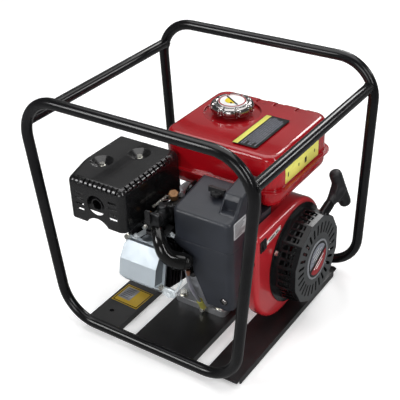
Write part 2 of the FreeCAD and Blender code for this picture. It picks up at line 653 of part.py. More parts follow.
# ---------------------------------------------------------------- muffler
def make_muffler():
    """Muffler box inside a slotted heat shield that is open at the back and below."""
    left, right = size("shield_left"), size("shield_right")
    front, back = size("shield_front"), size("shield_back")
    bottom, top = size("shield_bottom"), size("shield_top")
    thick = size("shield_sheet")

    def canopy(inset, floor):
        """Box with a bulging left side and soft edges, running on behind and below the shield."""
        west, east, near, far = left + inset, right - inset, front + inset, back + 30
        outline = [(west, near), (east, near), (east, far), (west - SHIELD_BULGE, far),
                   (west - SHIELD_BULGE, BULGE_Y)]
        shape = slab([(x, y, floor) for x, y in outline], ALONG_Z * (top - inset - floor))

        def at_bulge(edge):
            bounds = edge.BoundBox
            return runs_along(ALONG_Z)(edge) and abs(bounds.YMin - BULGE_Y) < 1

        def at_front(edge):
            return runs_along(ALONG_Z)(edge) and edge.BoundBox.YMax < near + 1

        shape = rounded(shape, 70, at_bulge)
        shape = rounded(shape, 12 - inset, at_front)
        roof = top - inset
        return rounded(shape, 12 - inset, lambda edge: at_height(roof)(edge) and edge.BoundBox.YMin < back)

    outer = canopy(0, bottom - 1)
    outer = outer.common(block(left - SHIELD_BULGE - 1, right + 1, front - 1, back, bottom, top + 1))
    shield = outer.cut(canopy(thick, bottom - 5))
    middle = (left + right) / 2
    outlet_z = top - 40
    shield = shield.cut(bar(18, (middle, front - 5, outlet_z), (middle, front + 5, outlet_z)))
    shield = shield.cut(bar(26, (middle, front - 5, bottom - 14), (middle, front + 5, bottom - 14)))
    for side in (-1, 1):
        for step in range(4):
            x = middle + side * 34
            z = outlet_z - 18 + step * 10
            shield = shield.cut(block(x - 8, x + 8, front - 2, front + 4, z, z + 4))
    for step in range(10):
        x = left + 14 + step * 9.4
        shield = shield.cut(block(x - 2, x + 2, front - 1, front + 9, top - 9, top + 1))
    for step in range(11):
        y = front + 18 + step * 12.2
        shield = shield.cut(block(right - 9, right + 1, y - 2, y + 2, top - 9, top + 1))
    floor = top - DISH_DEPTH
    for x, y in SHIELD_DISHES:
        dish = Part.makeCone(DISH_FLOOR, DISH_RIM, DISH_DEPTH, Vector(x, y, floor), ALONG_Z)
        hollow = Part.makeCone(DISH_FLOOR - thick, DISH_RIM - thick, DISH_DEPTH,
                               Vector(x, y, floor + thick), ALONG_Z)
        shield = shield.cut(dish).fuse(dish.cut(hollow).common(outer))
    body = rounded(block(left + 10, right - 10, front + 24, back - 8, bottom + 6, top - 12), 14,
                   runs_along(ALONG_Y))
    outlet = bar(11, (middle, front + 3, outlet_z), (middle, front + 30, outlet_z))
    body = body.fuse(outlet).cut(bar(9, (middle, front, outlet_z), (middle, front + 28, outlet_z)))
    for x, y in SHIELD_DISHES:
        body = body.fuse(bar(7, (x, y, top - 14), (x, y, floor)))
    port = port_base(EXHAUST_OFFSET) + ALONG_Z * PORT_RISE
    inlet = bar(12, (port.x, port.y, port.z), (port.x, port.y, bottom + 8))
    node(feature("muffler", body.fuse(inlet).removeSplitter()), "muffler")
    for x, y in SHIELD_DISHES:
        shield = fit_small_bolt(Vector(x, y, floor + thick), ALONG_Z * -1, shield, "muffler")
    node(feature("muffler_shield", shield), "muffler_shield")


# ---------------------------------------------------------------- intake
def make_intake():
    """Insulator, carburettor with its float bowl, choke lever, fuel tap and the hose to the tank."""
    port = port_base(INTAKE_OFFSET) + ALONG_Z * PORT_RISE
    spacer = rounded(block(port.x - 18, port.x + 18, port.y - 18, port.y + 18, port.z, port.z + 6),
                     6, runs_along(ALONG_Z))
    node(feature("insulator", spacer.cut(bar(9, (port.x, port.y, 0), (port.x, port.y, 400)))), "insulator")
    low = port.z + 6
    body = block(port.x - 17, port.x + 10, port.y - 16, CARB_BACK, low, low + 36)
    body = rounded(body, 5, runs_along(ALONG_Z))
    bowl_y = CARB_BACK - 18
    bowl = bar(15, (port.x - 12, bowl_y, low - 14), (port.x - 12, bowl_y, low + 20))
    neck = bar(14, (port.x, NECK_Y, NECK_Z), (size("filter_left") + 2, NECK_Y, NECK_Z))
    spindle = Vector(port.x - 8, port.y - 16, low + 22)
    tap = Vector(port.x - 12, CARB_BACK - 3, low - 2)
    hose_end = Vector(HOSE_X, CARB_BACK + 10, HOSE_LOW)
    carb = fuse([body, bowl, neck, bar(6, (tap.x, tap.y - 8, tap.z), (tap.x, tap.y + 4, tap.z)),
                 bar(HOSE_BORE - 0.05, (HOSE_X, CARB_BACK - 3, HOSE_LOW), tuple(hose_end))])
    carb = carb.cut(bar(3.1, (spindle.x, spindle.y - 1, spindle.z), (spindle.x, spindle.y + 8, spindle.z)))
    carb = carb.cut(bar(2.6, (tap.x, tap.y - 4, tap.z), (tap.x, tap.y + 5, tap.z)))
    node(feature("carburettor", carb), "carburettor")
    choke = fuse([bar(3.0, spindle + Vector(0, 7, 0), spindle + Vector(0, -3, 0)),
                  rounded(block(spindle.x - 5, spindle.x + 5, spindle.y - 5, spindle.y - 2,
                                spindle.z - 5, spindle.z + 20), 3, runs_along(ALONG_Y))])
    node(feature("choke_lever", choke), "choke_lever")
    tap_lever = fuse([bar(2.5, tap + Vector(0, -3, 0), tap + Vector(0, 8, 0)),
                      rounded(block(tap.x - 18, tap.x + 4, tap.y + 5, tap.y + 8.5, tap.z - 4, tap.z + 4),
                              3, runs_along(ALONG_Y))])
    node(feature("fuel_tap_lever", tap_lever), "fuel_tap_lever")
    route = [(HOSE_X, CARB_BACK + 0.5, HOSE_LOW), (HOSE_X, HOSE_TANK_Y - 22, HOSE_LOW),
             (HOSE_X, HOSE_TANK_Y - 10, HOSE_HIGH), (HOSE_X, HOSE_TANK_Y + 8, HOSE_HIGH)]
    path = rounded_path(route, HOSE_BEND)
    hose = tube(path, HOSE_BORE + 1.7).cut(tube(path, HOSE_BORE))
    node(feature("fuel_hose", hose), "fuel_hose")


def make_throttle():
    """Control plate on top of the crankcase, with the speed lever on a vertical pivot."""
    top = size("case_top")
    plate = rounded(block(-30, 10, -34, 6, top + 4, top + 6), 5, runs_along(ALONG_Z))
    leg = block(-20, 8, 0, 6, top, top + 4)
    pivot = bar(3, (0, -20, top + 6), (0, -20, top + 12))
    node(feature("throttle_bracket", fuse([plate, leg, pivot])), "throttle_bracket")
    arm = rounded(block(-5, 5, -46, -14, top + 6.4, top + 8.4), 4.5, runs_along(ALONG_Z))
    knob = bar(4, (0, -42, top + 8), (0, -42, top + 13))
    lever = fuse([arm, bar(5.5, (0, -20, top + 6.4), (0, -20, top + 11)), knob])
    node(feature("throttle_lever", lever.cut(bar(3.06, (0, -20, top), (0, -20, top + 20)))), "throttle_lever")


def filter_outline(front, offset=0.0):
    """Front view of the low part of the case: it narrows downwards, clear of the cylinder."""
    mid, low = size("filter_mid"), size("filter_low")
    right = size("filter_right") - offset
    return [(50 + offset, front, mid), (50 + offset, front, 152), (76 + offset, front, low + offset),
            (right, front, low + offset), (right, front, mid)]


def make_air_cleaner():
    """Case behind the plug, cover with its snorkel, thumb screw and filter ring."""
    left, right = size("filter_left"), size("filter_right")
    front, back = size("filter_front"), size("filter_back")
    mid, seam, top, peak = size("filter_mid"), size("filter_seam"), size("filter_top"), size("filter_peak")
    thick = size("filter_sheet")
    depth = back - front
    case_x = size("case_right")
    tray = slab([(left, front, seam), (left, front, seam - 4), (26, front, 190), (50, front, mid),
                 (right, front, mid), (right, front, seam)], ALONG_Y * depth)
    low = slab(filter_outline(front), ALONG_Y * 56)
    case = tray.fuse(low).removeSplitter()
    case = rounded(case, 12, lambda edge: runs_along(ALONG_Z)(edge) and edge.BoundBox.XMin > right - 1)
    tail = size("tank_bottom") - 3
    case = fuse([case, block(right - 38, right, back - 1, back + 32, mid, seam),
                 block(right - 38, right, back + 0.3, back + 32, mid, tail)])
    scroll = bar(size("housing_radius") + 1.2, (case_x, CRANK.y, CRANK.z), (right + 1, CRANK.y, CRANK.z))
    case = case.cut(scroll)
    hollow = block(left + thick, right - thick, front + thick, back - thick, mid + thick + 8, seam + 1)
    hollow = hollow.cut(slab([(left, front, mid), (52, front, mid), (52, front, mid + 8),
                              (26, front, seam - 8), (left, front, seam)], ALONG_Y * depth))
    hollow = rounded(hollow, 12 - thick,
                     lambda edge: runs_along(ALONG_Z)(edge) and edge.BoundBox.XMin > right - thick - 1)
    low_hollow = slab(filter_outline(front, 4), ALONG_Y * 48)
    low_hollow.translate(ALONG_Y * 4)
    case = case.cut(hollow).cut(low_hollow.common(block(0, 200, front, back, 0, mid - 4)))
    recess_x, recess_z = right - 14, size("filter_low") + 16
    case = case.cut(bar(7, (recess_x, front - 1, recess_z), (recess_x, front + 2.4, recess_z)))
    stud = Vector(FILTER_STUD_X, FILTER_STUD_Y, seam)
    case = fuse([case, bar(9, (stud.x, stud.y, mid), (stud.x, stud.y, seam - 6)),
                 bar(3, (stud.x, stud.y, seam - 8), (stud.x, stud.y, top + 17))])
    node(feature("air_cleaner_case", case), "air_cleaner_case")

    def soft_box(shape, inset):
        shape = rounded(shape, 12 - inset, lambda edge: (runs_along(ALONG_Z)(edge)
                                                         and edge.BoundBox.YMax < front + inset + 1))
        return rounded(shape, 7 - inset, lambda edge: edge.BoundBox.ZMin > top - inset - 5)

    profile = [(left, front, seam + 0.3), (left, back, seam + 0.3),
               (left, back, top + 14), (left, front, top - 4)]
    cover = soft_box(slab(profile, ALONG_X * (right - left)), 0)
    snorkel = slab([(right - 34, -100, seam + 1), (right - 34, back, seam + 1), (right - 34, back, peak),
                    (right - 34, -78, peak - 10), (right - 34, -100, top - 2)], ALONG_X * 34)
    snorkel = rounded(snorkel, 5, lambda edge: edge.BoundBox.ZMin > top - 4)
    cover = cover.fuse(snorkel)
    inside, near, far = left + thick, front + thick, back - thick
    inner = slab([(inside, near, seam - 1), (inside, far, seam - 1),
                  (inside, far, top + 14 - thick), (inside, near, top - 4 - thick)],
                 ALONG_X * (right - left - 2 * thick))
    cover = cover.cut(soft_box(inner, thick))
    cover = cover.cut(block(right - 29, right - 5, -110, -84, top + 2, peak))
    cover = cover.cut(bar(3.4, (stud.x, stud.y, seam), (stud.x, stud.y, top + 60)))
    cover = cover.cut(bar(14.2, (left - 1, NECK_Y, NECK_Z), (left + thick + 1, NECK_Y, NECK_Z)))
    node(feature("air_cleaner_cover", cover), "air_cleaner_cover")
    knob_z = top + 11
    knob = fuse([bar(11, (stud.x, stud.y, knob_z), (stud.x, stud.y, knob_z + 5)),
                 rounded(block(stud.x - 16, stud.x + 16, stud.y - 3, stud.y + 3, knob_z + 3, knob_z + 12),
                         2.5, runs_along(ALONG_Z))])
    knob = knob.cut(bar(3.06, (stud.x, stud.y, knob_z - 1), (stud.x, stud.y, knob_z + 7)))
    node(feature("air_cleaner_knob", knob), "air_cleaner_knob")
    element = bar(34, (stud.x, stud.y, seam + 3), (stud.x, stud.y, top - 18))
    element = element.cut(bar(22, (stud.x, stud.y, seam), (stud.x, stud.y, top)))
    node(feature("filter_element", element), "filter_element")


# ---------------------------------------------------------------- fuel tank
def make_tank():
    """Hollow tank with a seam flange all round, its strainer and its brackets."""
    left, right = size("tank_left"), size("tank_right")
    front, back = size("tank_front"), size("tank_back")
    bottom, top = size("tank_bottom"), size("tank_top")
    cap_x, cap_y = size("cap_x"), size("cap_y")
    thick = size("tank_sheet")
    lip = size("tank_flange")

    def vessel(inset):
        shape = block(left + inset, right - inset, front + inset, back - inset, bottom + inset, top - inset)
        shape = rounded(shape, 26 - inset, runs_along(ALONG_Z))
        shape = rounded(shape, 10 - inset, at_height(top - inset))
        shape = rounded(shape, 18 - inset, at_height(bottom + inset))
        shape = shape.cut(bar(size("cap_radius") + 12 + inset, (cap_x, cap_y, top - 4 - inset),
                              (cap_x, cap_y, top + 2)))
        for x in (13, 48, 91):
            shape = shape.cut(block(x - 9 - inset, x + 9 + inset, back - 22 - inset, back + 2,
                                    top - 4 - inset, top + 2))
        return shape

    flange = block(left - lip, right + lip, front - lip, back + lip, 262, 265)
    flange = rounded(flange, 30, runs_along(ALONG_Z))
    neck = bar(22, (cap_x, cap_y, top - 10), (cap_x, cap_y, top + 2))
    stub = bar(HOSE_BORE - 0.05, (HOSE_X, HOSE_TANK_Y, HOSE_HIGH), (HOSE_X, front + 1, HOSE_HIGH))
    tank = fuse([vessel(0).fuse(flange).cut(vessel(thick)), neck, stub])
    tank = tank.cut(bar(18, (cap_x, cap_y, top - 20), (cap_x, cap_y, top + 6)))
    tank = tank.cut(bar(1.5, (HOSE_X, HOSE_TANK_Y - 1, HOSE_HIGH), (HOSE_X, front + 4, HOSE_HIGH)))
    node(feature("fuel_tank", tank), "fuel_tank")
    basket = bar(17.6, (cap_x, cap_y, top - 40), (cap_x, cap_y, top + 2.6))
    rim = bar(21.5, (cap_x, cap_y, top + 2), (cap_x, cap_y, top + 2.8))
    hollow = bar(16.4, (cap_x, cap_y, top - 38.5), (cap_x, cap_y, top + 4))
    node(feature("tank_strainer", fuse([basket, rim]).cut(hollow)), "tank_strainer")
    brackets = [block(x - 10, x + 10, y - 8, y + 8, size("case_top"), bottom)
                for y in (30, 100) for x in (-34, 34)]
    node(feature("tank_brackets", group(brackets)), "tank_brackets")


def make_fuel_cap():
    """Lobed screw cap: a disc with notches round its rim, hollow underneath."""
    body = new_body("fuel_cap")
    radius = size("cap_radius")
    face = new_sketch(body, "cap_face", "XY_Plane")
    draw_circle(face, "Size.cap_radius", radius)
    pad(body, "cap_pad", face, "Size.cap_height")
    doc.recompute()
    bore = new_sketch(body, "cap_bore", "XY_Plane")
    draw_circle(bore, "Size.cap_radius - 12", radius - 12)
    hollow = body.newObject("PartDesign::Pocket", "cap_hollow")
    hollow.Profile = bore
    hollow.Length = 12
    hollow.Reversed = True
    doc.recompute()
    notch = new_sketch(body, "cap_notch", "XY_Plane")
    draw_circle(notch, "Size.cap_radius / 6", radius / 6, radius + 1.5, 0)
    notches = body.newObject("PartDesign::Pocket", "cap_notches")
    notches.Profile = notch
    notches.Type = "ThroughAll"
    notches.Midplane = True
    ring_of = body.newObject("PartDesign::PolarPattern", "cap_lobes")
    ring_of.Originals = [notches]
    ring_of.Axis = (face, ["N_Axis"])
    ring_of.Angle = 360
    ring_of.Occurrences = 8
    body.Tip = ring_of
    place(body, "Size.cap_x", "Size.cap_y", "Size.tank_top + 3.2")
    node(body, "fuel_cap")


# ---------------------------------------------------------------- flywheel side
def housing_outline(x, front, top, bend, inset=0.0):
    """Side view of the blower housing: a round scroll drawn out to a nose in front."""
    radius = size("housing_radius") - inset
    low, high, nose = CRANK.z - radius, top - inset, front + inset
    corner = bend - inset
    crown = 12 - inset
    rise = min(high - CRANK.z, radius)
    turn_y, turn_z = nose + corner, low + corner
    leave_y = CRANK.y - math.sqrt(radius ** 2 - rise ** 2)
    slant = math.sqrt(0.5)
    points = [Vector(x, y, z) for y, z in (
        (turn_y, low), (CRANK.y, low), (CRANK.y + radius, CRANK.z), (leave_y, CRANK.z + rise),
        (nose + crown, CRANK.z + rise), (nose + crown * (1 - slant), CRANK.z + rise - crown * (1 - slant)),
        (nose, CRANK.z + rise - crown), (nose, turn_z),
        (turn_y - corner * slant, turn_z - corner * slant))]
    start, base, far, leave, lead, crest, drop, foot, sweep = points
    edges = [Part.makeLine(start, base), Part.Arc(base, far, leave).toShape(),
             Part.makeLine(leave, lead), Part.Arc(lead, crest, drop).toShape(),
             Part.makeLine(drop, foot), Part.Arc(foot, sweep, start).toShape()]
    return Part.Face(Part.Wire(edges))


def make_blower_housing():
    """Scroll behind the air cleaner, with a taller nose beside it, and the stop switch."""
    left, right, step = size("case_right") + 1, size("housing_right"), size("housing_step")
    thick = size("housing_sheet")
    full = CRANK.z + size("housing_radius")

    def solid(x0, x1, x_step, inset):
        low = housing_outline(x0, *HOUSING_LOW, inset).extrude(ALONG_X * (x1 - x0))
        tall = housing_outline(x_step, HOUSING_FRONT, full, HOUSING_BEND, inset)
        tall = tall.extrude(ALONG_X * (x1 - x_step))
        both = low.fuse(tall).removeSplitter()
        return rounded(both, 8, lambda edge: edge.BoundBox.XMin > x1 - 0.01)

    housing = solid(left, right, step, 0).cut(solid(left - 1, right - thick, step + thick, thick))
    mouth = bar(79, (right - 10, CRANK.y, CRANK.z), (right + 1, CRANK.y, CRANK.z))
    foot_room = block(left - 1, size("foot_x") + size("foot_width") / 2 + 0.5, -60, 130, 0, GROUND_TOP + 13)
    housing = housing.cut(mouth).cut(foot_room)
    for z in (168, 186):
        housing = housing.cut(block(131, 141, HOUSING_FRONT - 1, HOUSING_FRONT + 4, z - 3, z + 3))
    y, z = SWITCH_Y, SWITCH_Z
    housing = housing.cut(block(right - 5, right + 1, y - 7, y + 7, z - 7, z + 7))
    node(feature("blower_housing", housing), "blower_housing")
    switch_box = fuse([block(right - 16, right + 2, y - 6.5, y + 6.5, z - 6.5, z + 6.5),
                       block(right, right + 2, y - 9, y + 9, z - 10, z + 10)])
    slot = block(right - 6, right + 3, y - 4.1, y + 4.1, z - 5.1, z + 5.1)
    switch_box = switch_box.cut(slot).cut(bar(1.56, (right, y - 6, z), (right, y + 6, z)))
    node(feature("switch_box", switch_box), "switch_box")
    wedge = [(right - 5.5, z - 2), (right + 1, z - 4.6), (right + 5.5, z - 4.4),
             (right + 2.6, z + 4.6), (right - 0.6, z + 4.8)]
    rocker = slab([(x, y - 3.7, height) for x, height in wedge], ALONG_Y * 7.4)
    rocker = rocker.fuse(bar(1.5, (right, y - 5.6, z), (right, y + 5.6, z)))
    node(feature("engine_switch", rocker), "engine_switch")


def make_flywheel():
    """Turned flywheel on the crankshaft's taper."""
    body = new_body("flywheel")
    radius = size("flywheel_radius")
    fall = (size("journal_radius") - TAPER_TIP) / (TAPER_END - TAPER_START)
    bore = [size("journal_radius") - fall * (x - TAPER_START) + 0.02 for x in (70, 102)]
    profile = new_sketch(body, "flywheel_profile", "XZ_Plane")
    draw_polygon(profile, [(70, bore[0]), (70, 22), (76, 24), (76, 56), (70, 58), (70, radius), (100, radius),
                           (100, 58), (90, 56), (90, 24), (102, 22), (102, bore[1])])
    turned = body.newObject("PartDesign::Revolution", "flywheel_turned")
    turned.Profile = profile
    turned.ReferenceAxis = (origin_plane(body, "X_Axis"), [""])
    turned.Angle = 360
    place(body, 0, "Size.crank_y", "Size.plate_rise + Size.crank_rise")
    node(body, "flywheel")


def make_fan():
    """Fan disc with straight blades, and the slotted cup the starter grips, held by the nut."""
    radius = size("fan_radius")
    disc = ring(radius, 22.5, 102.2, 2.5)
    blades = []
    for index in range(16):
        blade = block(104, 136, -1.2, 1.2, 44, radius - 0.5)
        blade.rotate(Vector(0, 0, 0), ALONG_X, 360 / 16 * index)
        blade.translate(Vector(0, CRANK.y, CRANK.z))
        blades.append(blade)
    node(feature("cooling_fan", fuse([disc] + blades)), "cooling_fan")
    cup = fuse([ring(34, 6.1, 104.7, 2), ring(34, 32, 104.7, 44)])
    slots = []
    for index in range(3):
        slot = block(112, 132, -7, 7, 20, 40)
        slot.rotate(Vector(0, 0, 0), ALONG_X, 120 * index)
        slot.translate(Vector(0, CRANK.y, CRANK.z))
        slots.append(slot)
    node(feature("starter_cup", cup.cut(fuse(slots))), "starter_cup")
    nut = hexagon(21, Vector(106.7, CRANK.y, CRANK.z), ALONG_X, 10).cut(
        bar(6, (100, CRANK.y, CRANK.z), (130, CRANK.y, CRANK.z)))
    node(feature("flywheel_nut", nut), "flywheel_nut")


def make_ignition():
    """Coil on two legs beside the flywheel rim, inside the nose of the housing."""
    legs = [block(76, 92, CRANK.y - 88, CRANK.y - 74, CRANK.z + z, CRANK.z + z + 8) for z in (-22, 14)]
    yoke = block(76, 92, CRANK.y - 94, CRANK.y - 86, CRANK.z - 22, CRANK.z + 22)
    winding = rounded(block(72, 96, CRANK.y - 92, CRANK.y - 76, CRANK.z - 12, CRANK.z + 12), 4,
                      runs_along(ALONG_X))
    node(feature("ignition_coil", fuse(legs + [yoke, winding])), "ignition_coil")


def rope_line():
    """Point where the rope leaves its pulley, and its direction."""
    angle = math.radians(size("rope_angle"))
    way = Vector(0, math.cos(angle), math.sin(angle))
    normal = Vector(0, -math.sin(angle), math.cos(angle))
    return Vector(ROPE_X, CRANK.y, CRANK.z) + normal * size("pulley_radius"), way


def make_recoil_cover():
    """Twelve-sided cover with a slotted face, windows in its sides and a guide for the rope."""
    back, face = size("housing_right"), size("recoil_face")
    big, small = size("recoil_back_radius"), size("recoil_face_radius")
    sides = 12

    def hull(inset, x0, x1):
        stations = [(x0, big - inset), (back + 26, big - 1 - inset), (x1, small - inset)]
        return Part.makeLoft([wire(ngon(radius, x, sides, 15)) for x, radius in stations], True, True)

    shell = hull(0, back, face).cut(hull(2.5, back - 0.01, face - 2.5))
    rim = bar(90, (back, CRANK.y, CRANK.z), (back + 2.5, CRANK.y, CRANK.z))
    rim = rim.cut(bar(78, (back - 1, CRANK.y, CRANK.z), (back + 3, CRANK.y, CRANK.z)))
    post = bar(8, (ROPE_X - 16, CRANK.y, CRANK.z), (face - 1, CRANK.y, CRANK.z))
    start, way = rope_line()
    guide = Part.makeCylinder(9, GUIDE_END - 68, start + way * 68, way)
    cover = fuse([shell, rim, post, guide])
    cover = cover.cut(Part.makeCylinder(3.5, 60, start + way * 50, way))
    slots = []
    for index in range(28):
        slot = rounded(block(face - 6, face + 2, -2.7, 2.7, 47, 68), 2.5, runs_along(ALONG_X))
        slot.rotate(Vector(0, 0, 0), ALONG_X, 360 / 28 * index)
        slot.translate(Vector(0, CRANK.y, CRANK.z))
        slots.append(slot)
    for index in range(sides - 2):
        for shift in (-13, 0, 13):
            window = block(back + 10, face - 10, shift - 4.5, shift + 4.5, small - 12, big + 5)
            window.rotate(Vector(0, 0, 0), ALONG_X, 360 / sides * index)
            window.translate(Vector(0, CRANK.y, CRANK.z))
            slots.append(window)
    cover = cover.cut(Part.makeCompound(slots))
    for turn in (30, 150, 270):
        y = CRANK.y + 85.5 * math.cos(math.radians(turn))
        z = CRANK.z + 85.5 * math.sin(math.radians(turn))
        cover = fit_small_bolt(Vector(back + 2.5, y, z), ALONG_X * -1, cover, "blower_housing")
    node(feature("recoil_cover", cover), "recoil_cover")


def make_recoil_works():
    """Rope pulley with its pawls and spring, the rope in its rest position and the handle."""
    radius = size("pulley_radius")
    x = ROPE_X
    pulley = fuse([ring(radius + 6, 8.06, x - 5, 2), ring(radius - 2.5, 8.06, x - 3, 6),
                   ring(radius + 6, 8.06, x + 3, 2), ring(14, 8.06, x - 16, 12), ring(27, 8.06, x - 16, 2)])
    node(feature("recoil_pulley", pulley), "recoil_pulley")
    pawls = [rounded(block(x - 21, x - 16, CRANK.y - 5 + side * 22, CRANK.y + 5 + side * 22,
                           CRANK.z - 8, CRANK.z + 8), 3, runs_along(ALONG_X)) for side in (-1, 1)]
    node(feature("starter_pawls", group(pawls)), "starter_pawls")
    inner, outer, thick, turns = 10.0, 30.0, 1.2, 5

    def spiral(offset):
        count = turns * 16
        points = []
        for step in range(count + 1):
            angle = 2 * math.pi * turns * step / count
            reach = inner + (outer - inner) * step / count + offset
            points.append(Vector(x + 8, CRANK.y + reach * math.cos(angle), CRANK.z + reach * math.sin(angle)))
        return points

    inside, outside = spiral(0), spiral(thick)
    curves = []
    for points in (inside, outside):
        curve = Part.BSplineCurve()
        curve.interpolate(points)
        curves.append(curve.toShape())
    strip = Part.Wire([curves[0], Part.makeLine(inside[-1], outside[-1]), curves[1],
                       Part.makeLine(outside[0], inside[0])])
    node(feature("recoil_spring", Part.Face(strip).extrude(ALONG_X * 8)), "recoil_spring")
    start, way = rope_line()
    stem_start = start + way * (GUIDE_END + 1)
    rope = Part.makeCylinder(size("rope_radius"), GUIDE_END + 13, start, way)
    node(feature("starter_rope", rope), "starter_rope")
    across = Vector(GRIP_LEAN, way.z, -way.y).normalize()
    aside = across.cross(way)
    stem = Part.makeCone(8, 13, 38, stem_start, way)
    middle = stem_start + way * GRIP_REACH
    grip = Part.makeCylinder(GRIP_RADIUS, 2 * GRIP_HALF, middle - across * GRIP_HALF, across)
    ends = [Part.makeSphere(GRIP_RADIUS, middle + across * (GRIP_HALF * side)) for side in (-1, 1)]
    neck = stem_start + way * 14 - aside * WEB_HALF
    edge = middle - aside * WEB_HALF
    web = slab([neck - across * 9, neck + across * 9, edge + across * (GRIP_HALF - 1),
                edge - across * (GRIP_HALF - 1)], aside * (2 * WEB_HALF))
    handle = fuse([stem, grip, web] + ends)
    handle = handle.cut(Part.makeCylinder(size("rope_radius") + 0.05, 14, stem_start - way, way))
    node(feature("starter_handle", handle), "starter_handle")


# ---------------------------------------------------------------- leads and small fittings
def make_leads():
    """Plug lead to the coil, and the earth wire from the plug cap's clip down to the foot."""
    for name, route, radius in (("ht_lead", HT_ROUTE, 3.5), ("earth_lead", EARTH_ROUTE, 2.2)):
        lead = tube(rounded_path(route, LEAD_BEND), radius)
        node(feature(name, lead.cut(find("spark_plug_cap").Shape).cut(find("ignition_coil").Shape)), name)
        runs = [round((Vector(*a) - Vector(*b)).Length) for a, b in zip(route, route[1:])]
        print(name, "radius", radius, "bends", LEAD_BEND, "runs", runs)
    print("fuel_hose radius", HOSE_BORE + 1.7, "bends", HOSE_BEND)


def make_fittings():
    """Oil filler cap with its dipstick, and the drain bolt."""
    x, z, front = FILLER_X, FILLER_Z, size("case_front")
    dipstick = fuse([bar(9.9, (x, front - 1, z), (x, front + 9, z)),
                     bar(13, (x, front - 7, z), (x, front - 0.3, z)),
                     bar(2, (x, front + 6, z), (x, front + 34, z)),
                     block(x - 12, x + 12, front - 14, front - 6, z - 3, z + 3)])
    node(feature("oil_dipstick", dipstick), "oil_dipstick")
    drain = bolt(Vector(20, size("case_back"), 34), Vector(0, -1, 0), 12, 7, 5, 9)
    crankcase = find("cylinder_block")
    crankcase.Shape = crankcase.Shape.cut(drain)
    node(feature("drain_bolt", drain), "drain_bolt")


# ---------------------------------------------------------------- build and export
make_frame()
make_plates()
make_engine_bolts()
make_cylinder_block()
make_crankcase_cover()
make_bearings()
make_crankshaft()
make_timing()
make_piston()
make_head()
make_valve_cover()
make_spark_plug()
make_muffler()
make_intake()
make_throttle()
make_air_cleaner()
make_tank()
make_fuel_cap()
make_blower_housing()
make_flywheel()
make_fan()
make_ignition()
make_recoil_cover()
make_recoil_works()
make_leads()
make_fittings()
node(feature("m5_bolts", group(SMALL_BOLTS)), "m5_bolts")
doc.recompute()

for item in doc.Objects:
    if {"Invalid", "Error"} & set(item.State):
        raise RuntimeError(f"{item.Label} did not recompute: {item.State}")
for item in NODES:
    if item.Shape.isNull() or not item.Shape.isValid():
        raise RuntimeError(f"{item.Label} has no valid shape")

os.makedirs("parts", exist_ok=True)
for item in NODES:
    item.Shape.exportStep(f"parts/{item.Label}.step")
print(len(NODES), "sub-parts")
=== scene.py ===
"""Looks of the petrol power unit in its carrying frame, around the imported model."""

import bmesh
import bpy
import math
import random
from mathutils import Matrix, Vector


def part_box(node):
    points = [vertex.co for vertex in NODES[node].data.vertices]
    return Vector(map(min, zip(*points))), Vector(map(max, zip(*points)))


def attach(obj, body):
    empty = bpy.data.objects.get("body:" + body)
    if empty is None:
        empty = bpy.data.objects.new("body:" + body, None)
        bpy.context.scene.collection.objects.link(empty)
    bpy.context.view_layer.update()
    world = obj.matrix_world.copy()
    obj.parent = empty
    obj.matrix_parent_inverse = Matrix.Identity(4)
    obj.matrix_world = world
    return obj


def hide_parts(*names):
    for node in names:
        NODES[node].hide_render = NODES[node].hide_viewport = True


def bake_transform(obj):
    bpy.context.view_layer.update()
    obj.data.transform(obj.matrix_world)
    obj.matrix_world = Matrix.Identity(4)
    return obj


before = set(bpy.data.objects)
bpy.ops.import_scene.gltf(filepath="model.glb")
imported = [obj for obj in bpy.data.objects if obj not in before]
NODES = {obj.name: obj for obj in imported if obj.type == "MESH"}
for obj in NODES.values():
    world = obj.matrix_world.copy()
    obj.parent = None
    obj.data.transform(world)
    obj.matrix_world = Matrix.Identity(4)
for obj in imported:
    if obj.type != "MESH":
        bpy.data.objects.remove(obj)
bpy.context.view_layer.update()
MM = 0.001
CRANK = Vector((0, 54, 118))       # a point on the crank's axis, which runs along X
LEAN = math.radians(12)            # of the cylinder, from level
BASE_TOP = 12.0                    # height of the base channels
# Starter rope: its plane, its distance from the crank's axis, its rise and its length to the handle.
ROPE_X, ROPE_OFFSET, ROPE_RISE, ROPE_LENGTH = 166, 32, math.radians(15.2), 111.0
rng = random.Random(7)


# ---------------------------------------------------------------- camera
def look_from(position, azimuth, elevation, roll, lens):
    """Camera at a position in millimetres, turned by angles in radians."""
    back = Vector((math.sin(azimuth) * math.cos(elevation), -math.cos(azimuth) * math.cos(elevation),
                   math.sin(elevation)))
    right = Vector((math.cos(azimuth), math.sin(azimuth), 0))
    up = back.cross(right)
    across = right * math.cos(roll) + up * math.sin(roll)
    above = up * math.cos(roll) - right * math.sin(roll)
    data = bpy.data.cameras.new("camera")
    data.sensor_width = 36
    data.lens = lens
    data.clip_start = 0.05
    camera = bpy.data.objects.new("camera", data)
    camera.matrix_world = Matrix((
        (across.x, above.x, back.x, position[0] * MM), (across.y, above.y, back.y, position[1] * MM),
        (across.z, above.z, back.z, position[2] * MM), (0, 0, 0, 1)))
    bpy.context.scene.collection.objects.link(camera)
    bpy.context.scene.camera = camera


look_from(position=(702.88, -1029.19, 976.07), azimuth=0.607356, elevation=0.553208, roll=-0.04095,
          lens=76.86)
bpy.context.scene.view_settings.view_transform = "Standard"


# ---------------------------------------------------------------- lights
def area_light(name, position, target, size, energy, tall=None):
    """Square light, or an upright strip where tall is given; metres and watts."""
    data = bpy.data.lights.new(name, "AREA")
    data.energy = energy
    data.size = size
    if tall:
        data.shape = "RECTANGLE"
        data.size_y = tall
    lamp = bpy.data.objects.new(name, data)
    lamp.location = position
    lamp.rotation_euler = (Vector(target) - Vector(position)).to_track_quat("-Z", "Y").to_euler()
    bpy.context.scene.collection.objects.link(lamp)


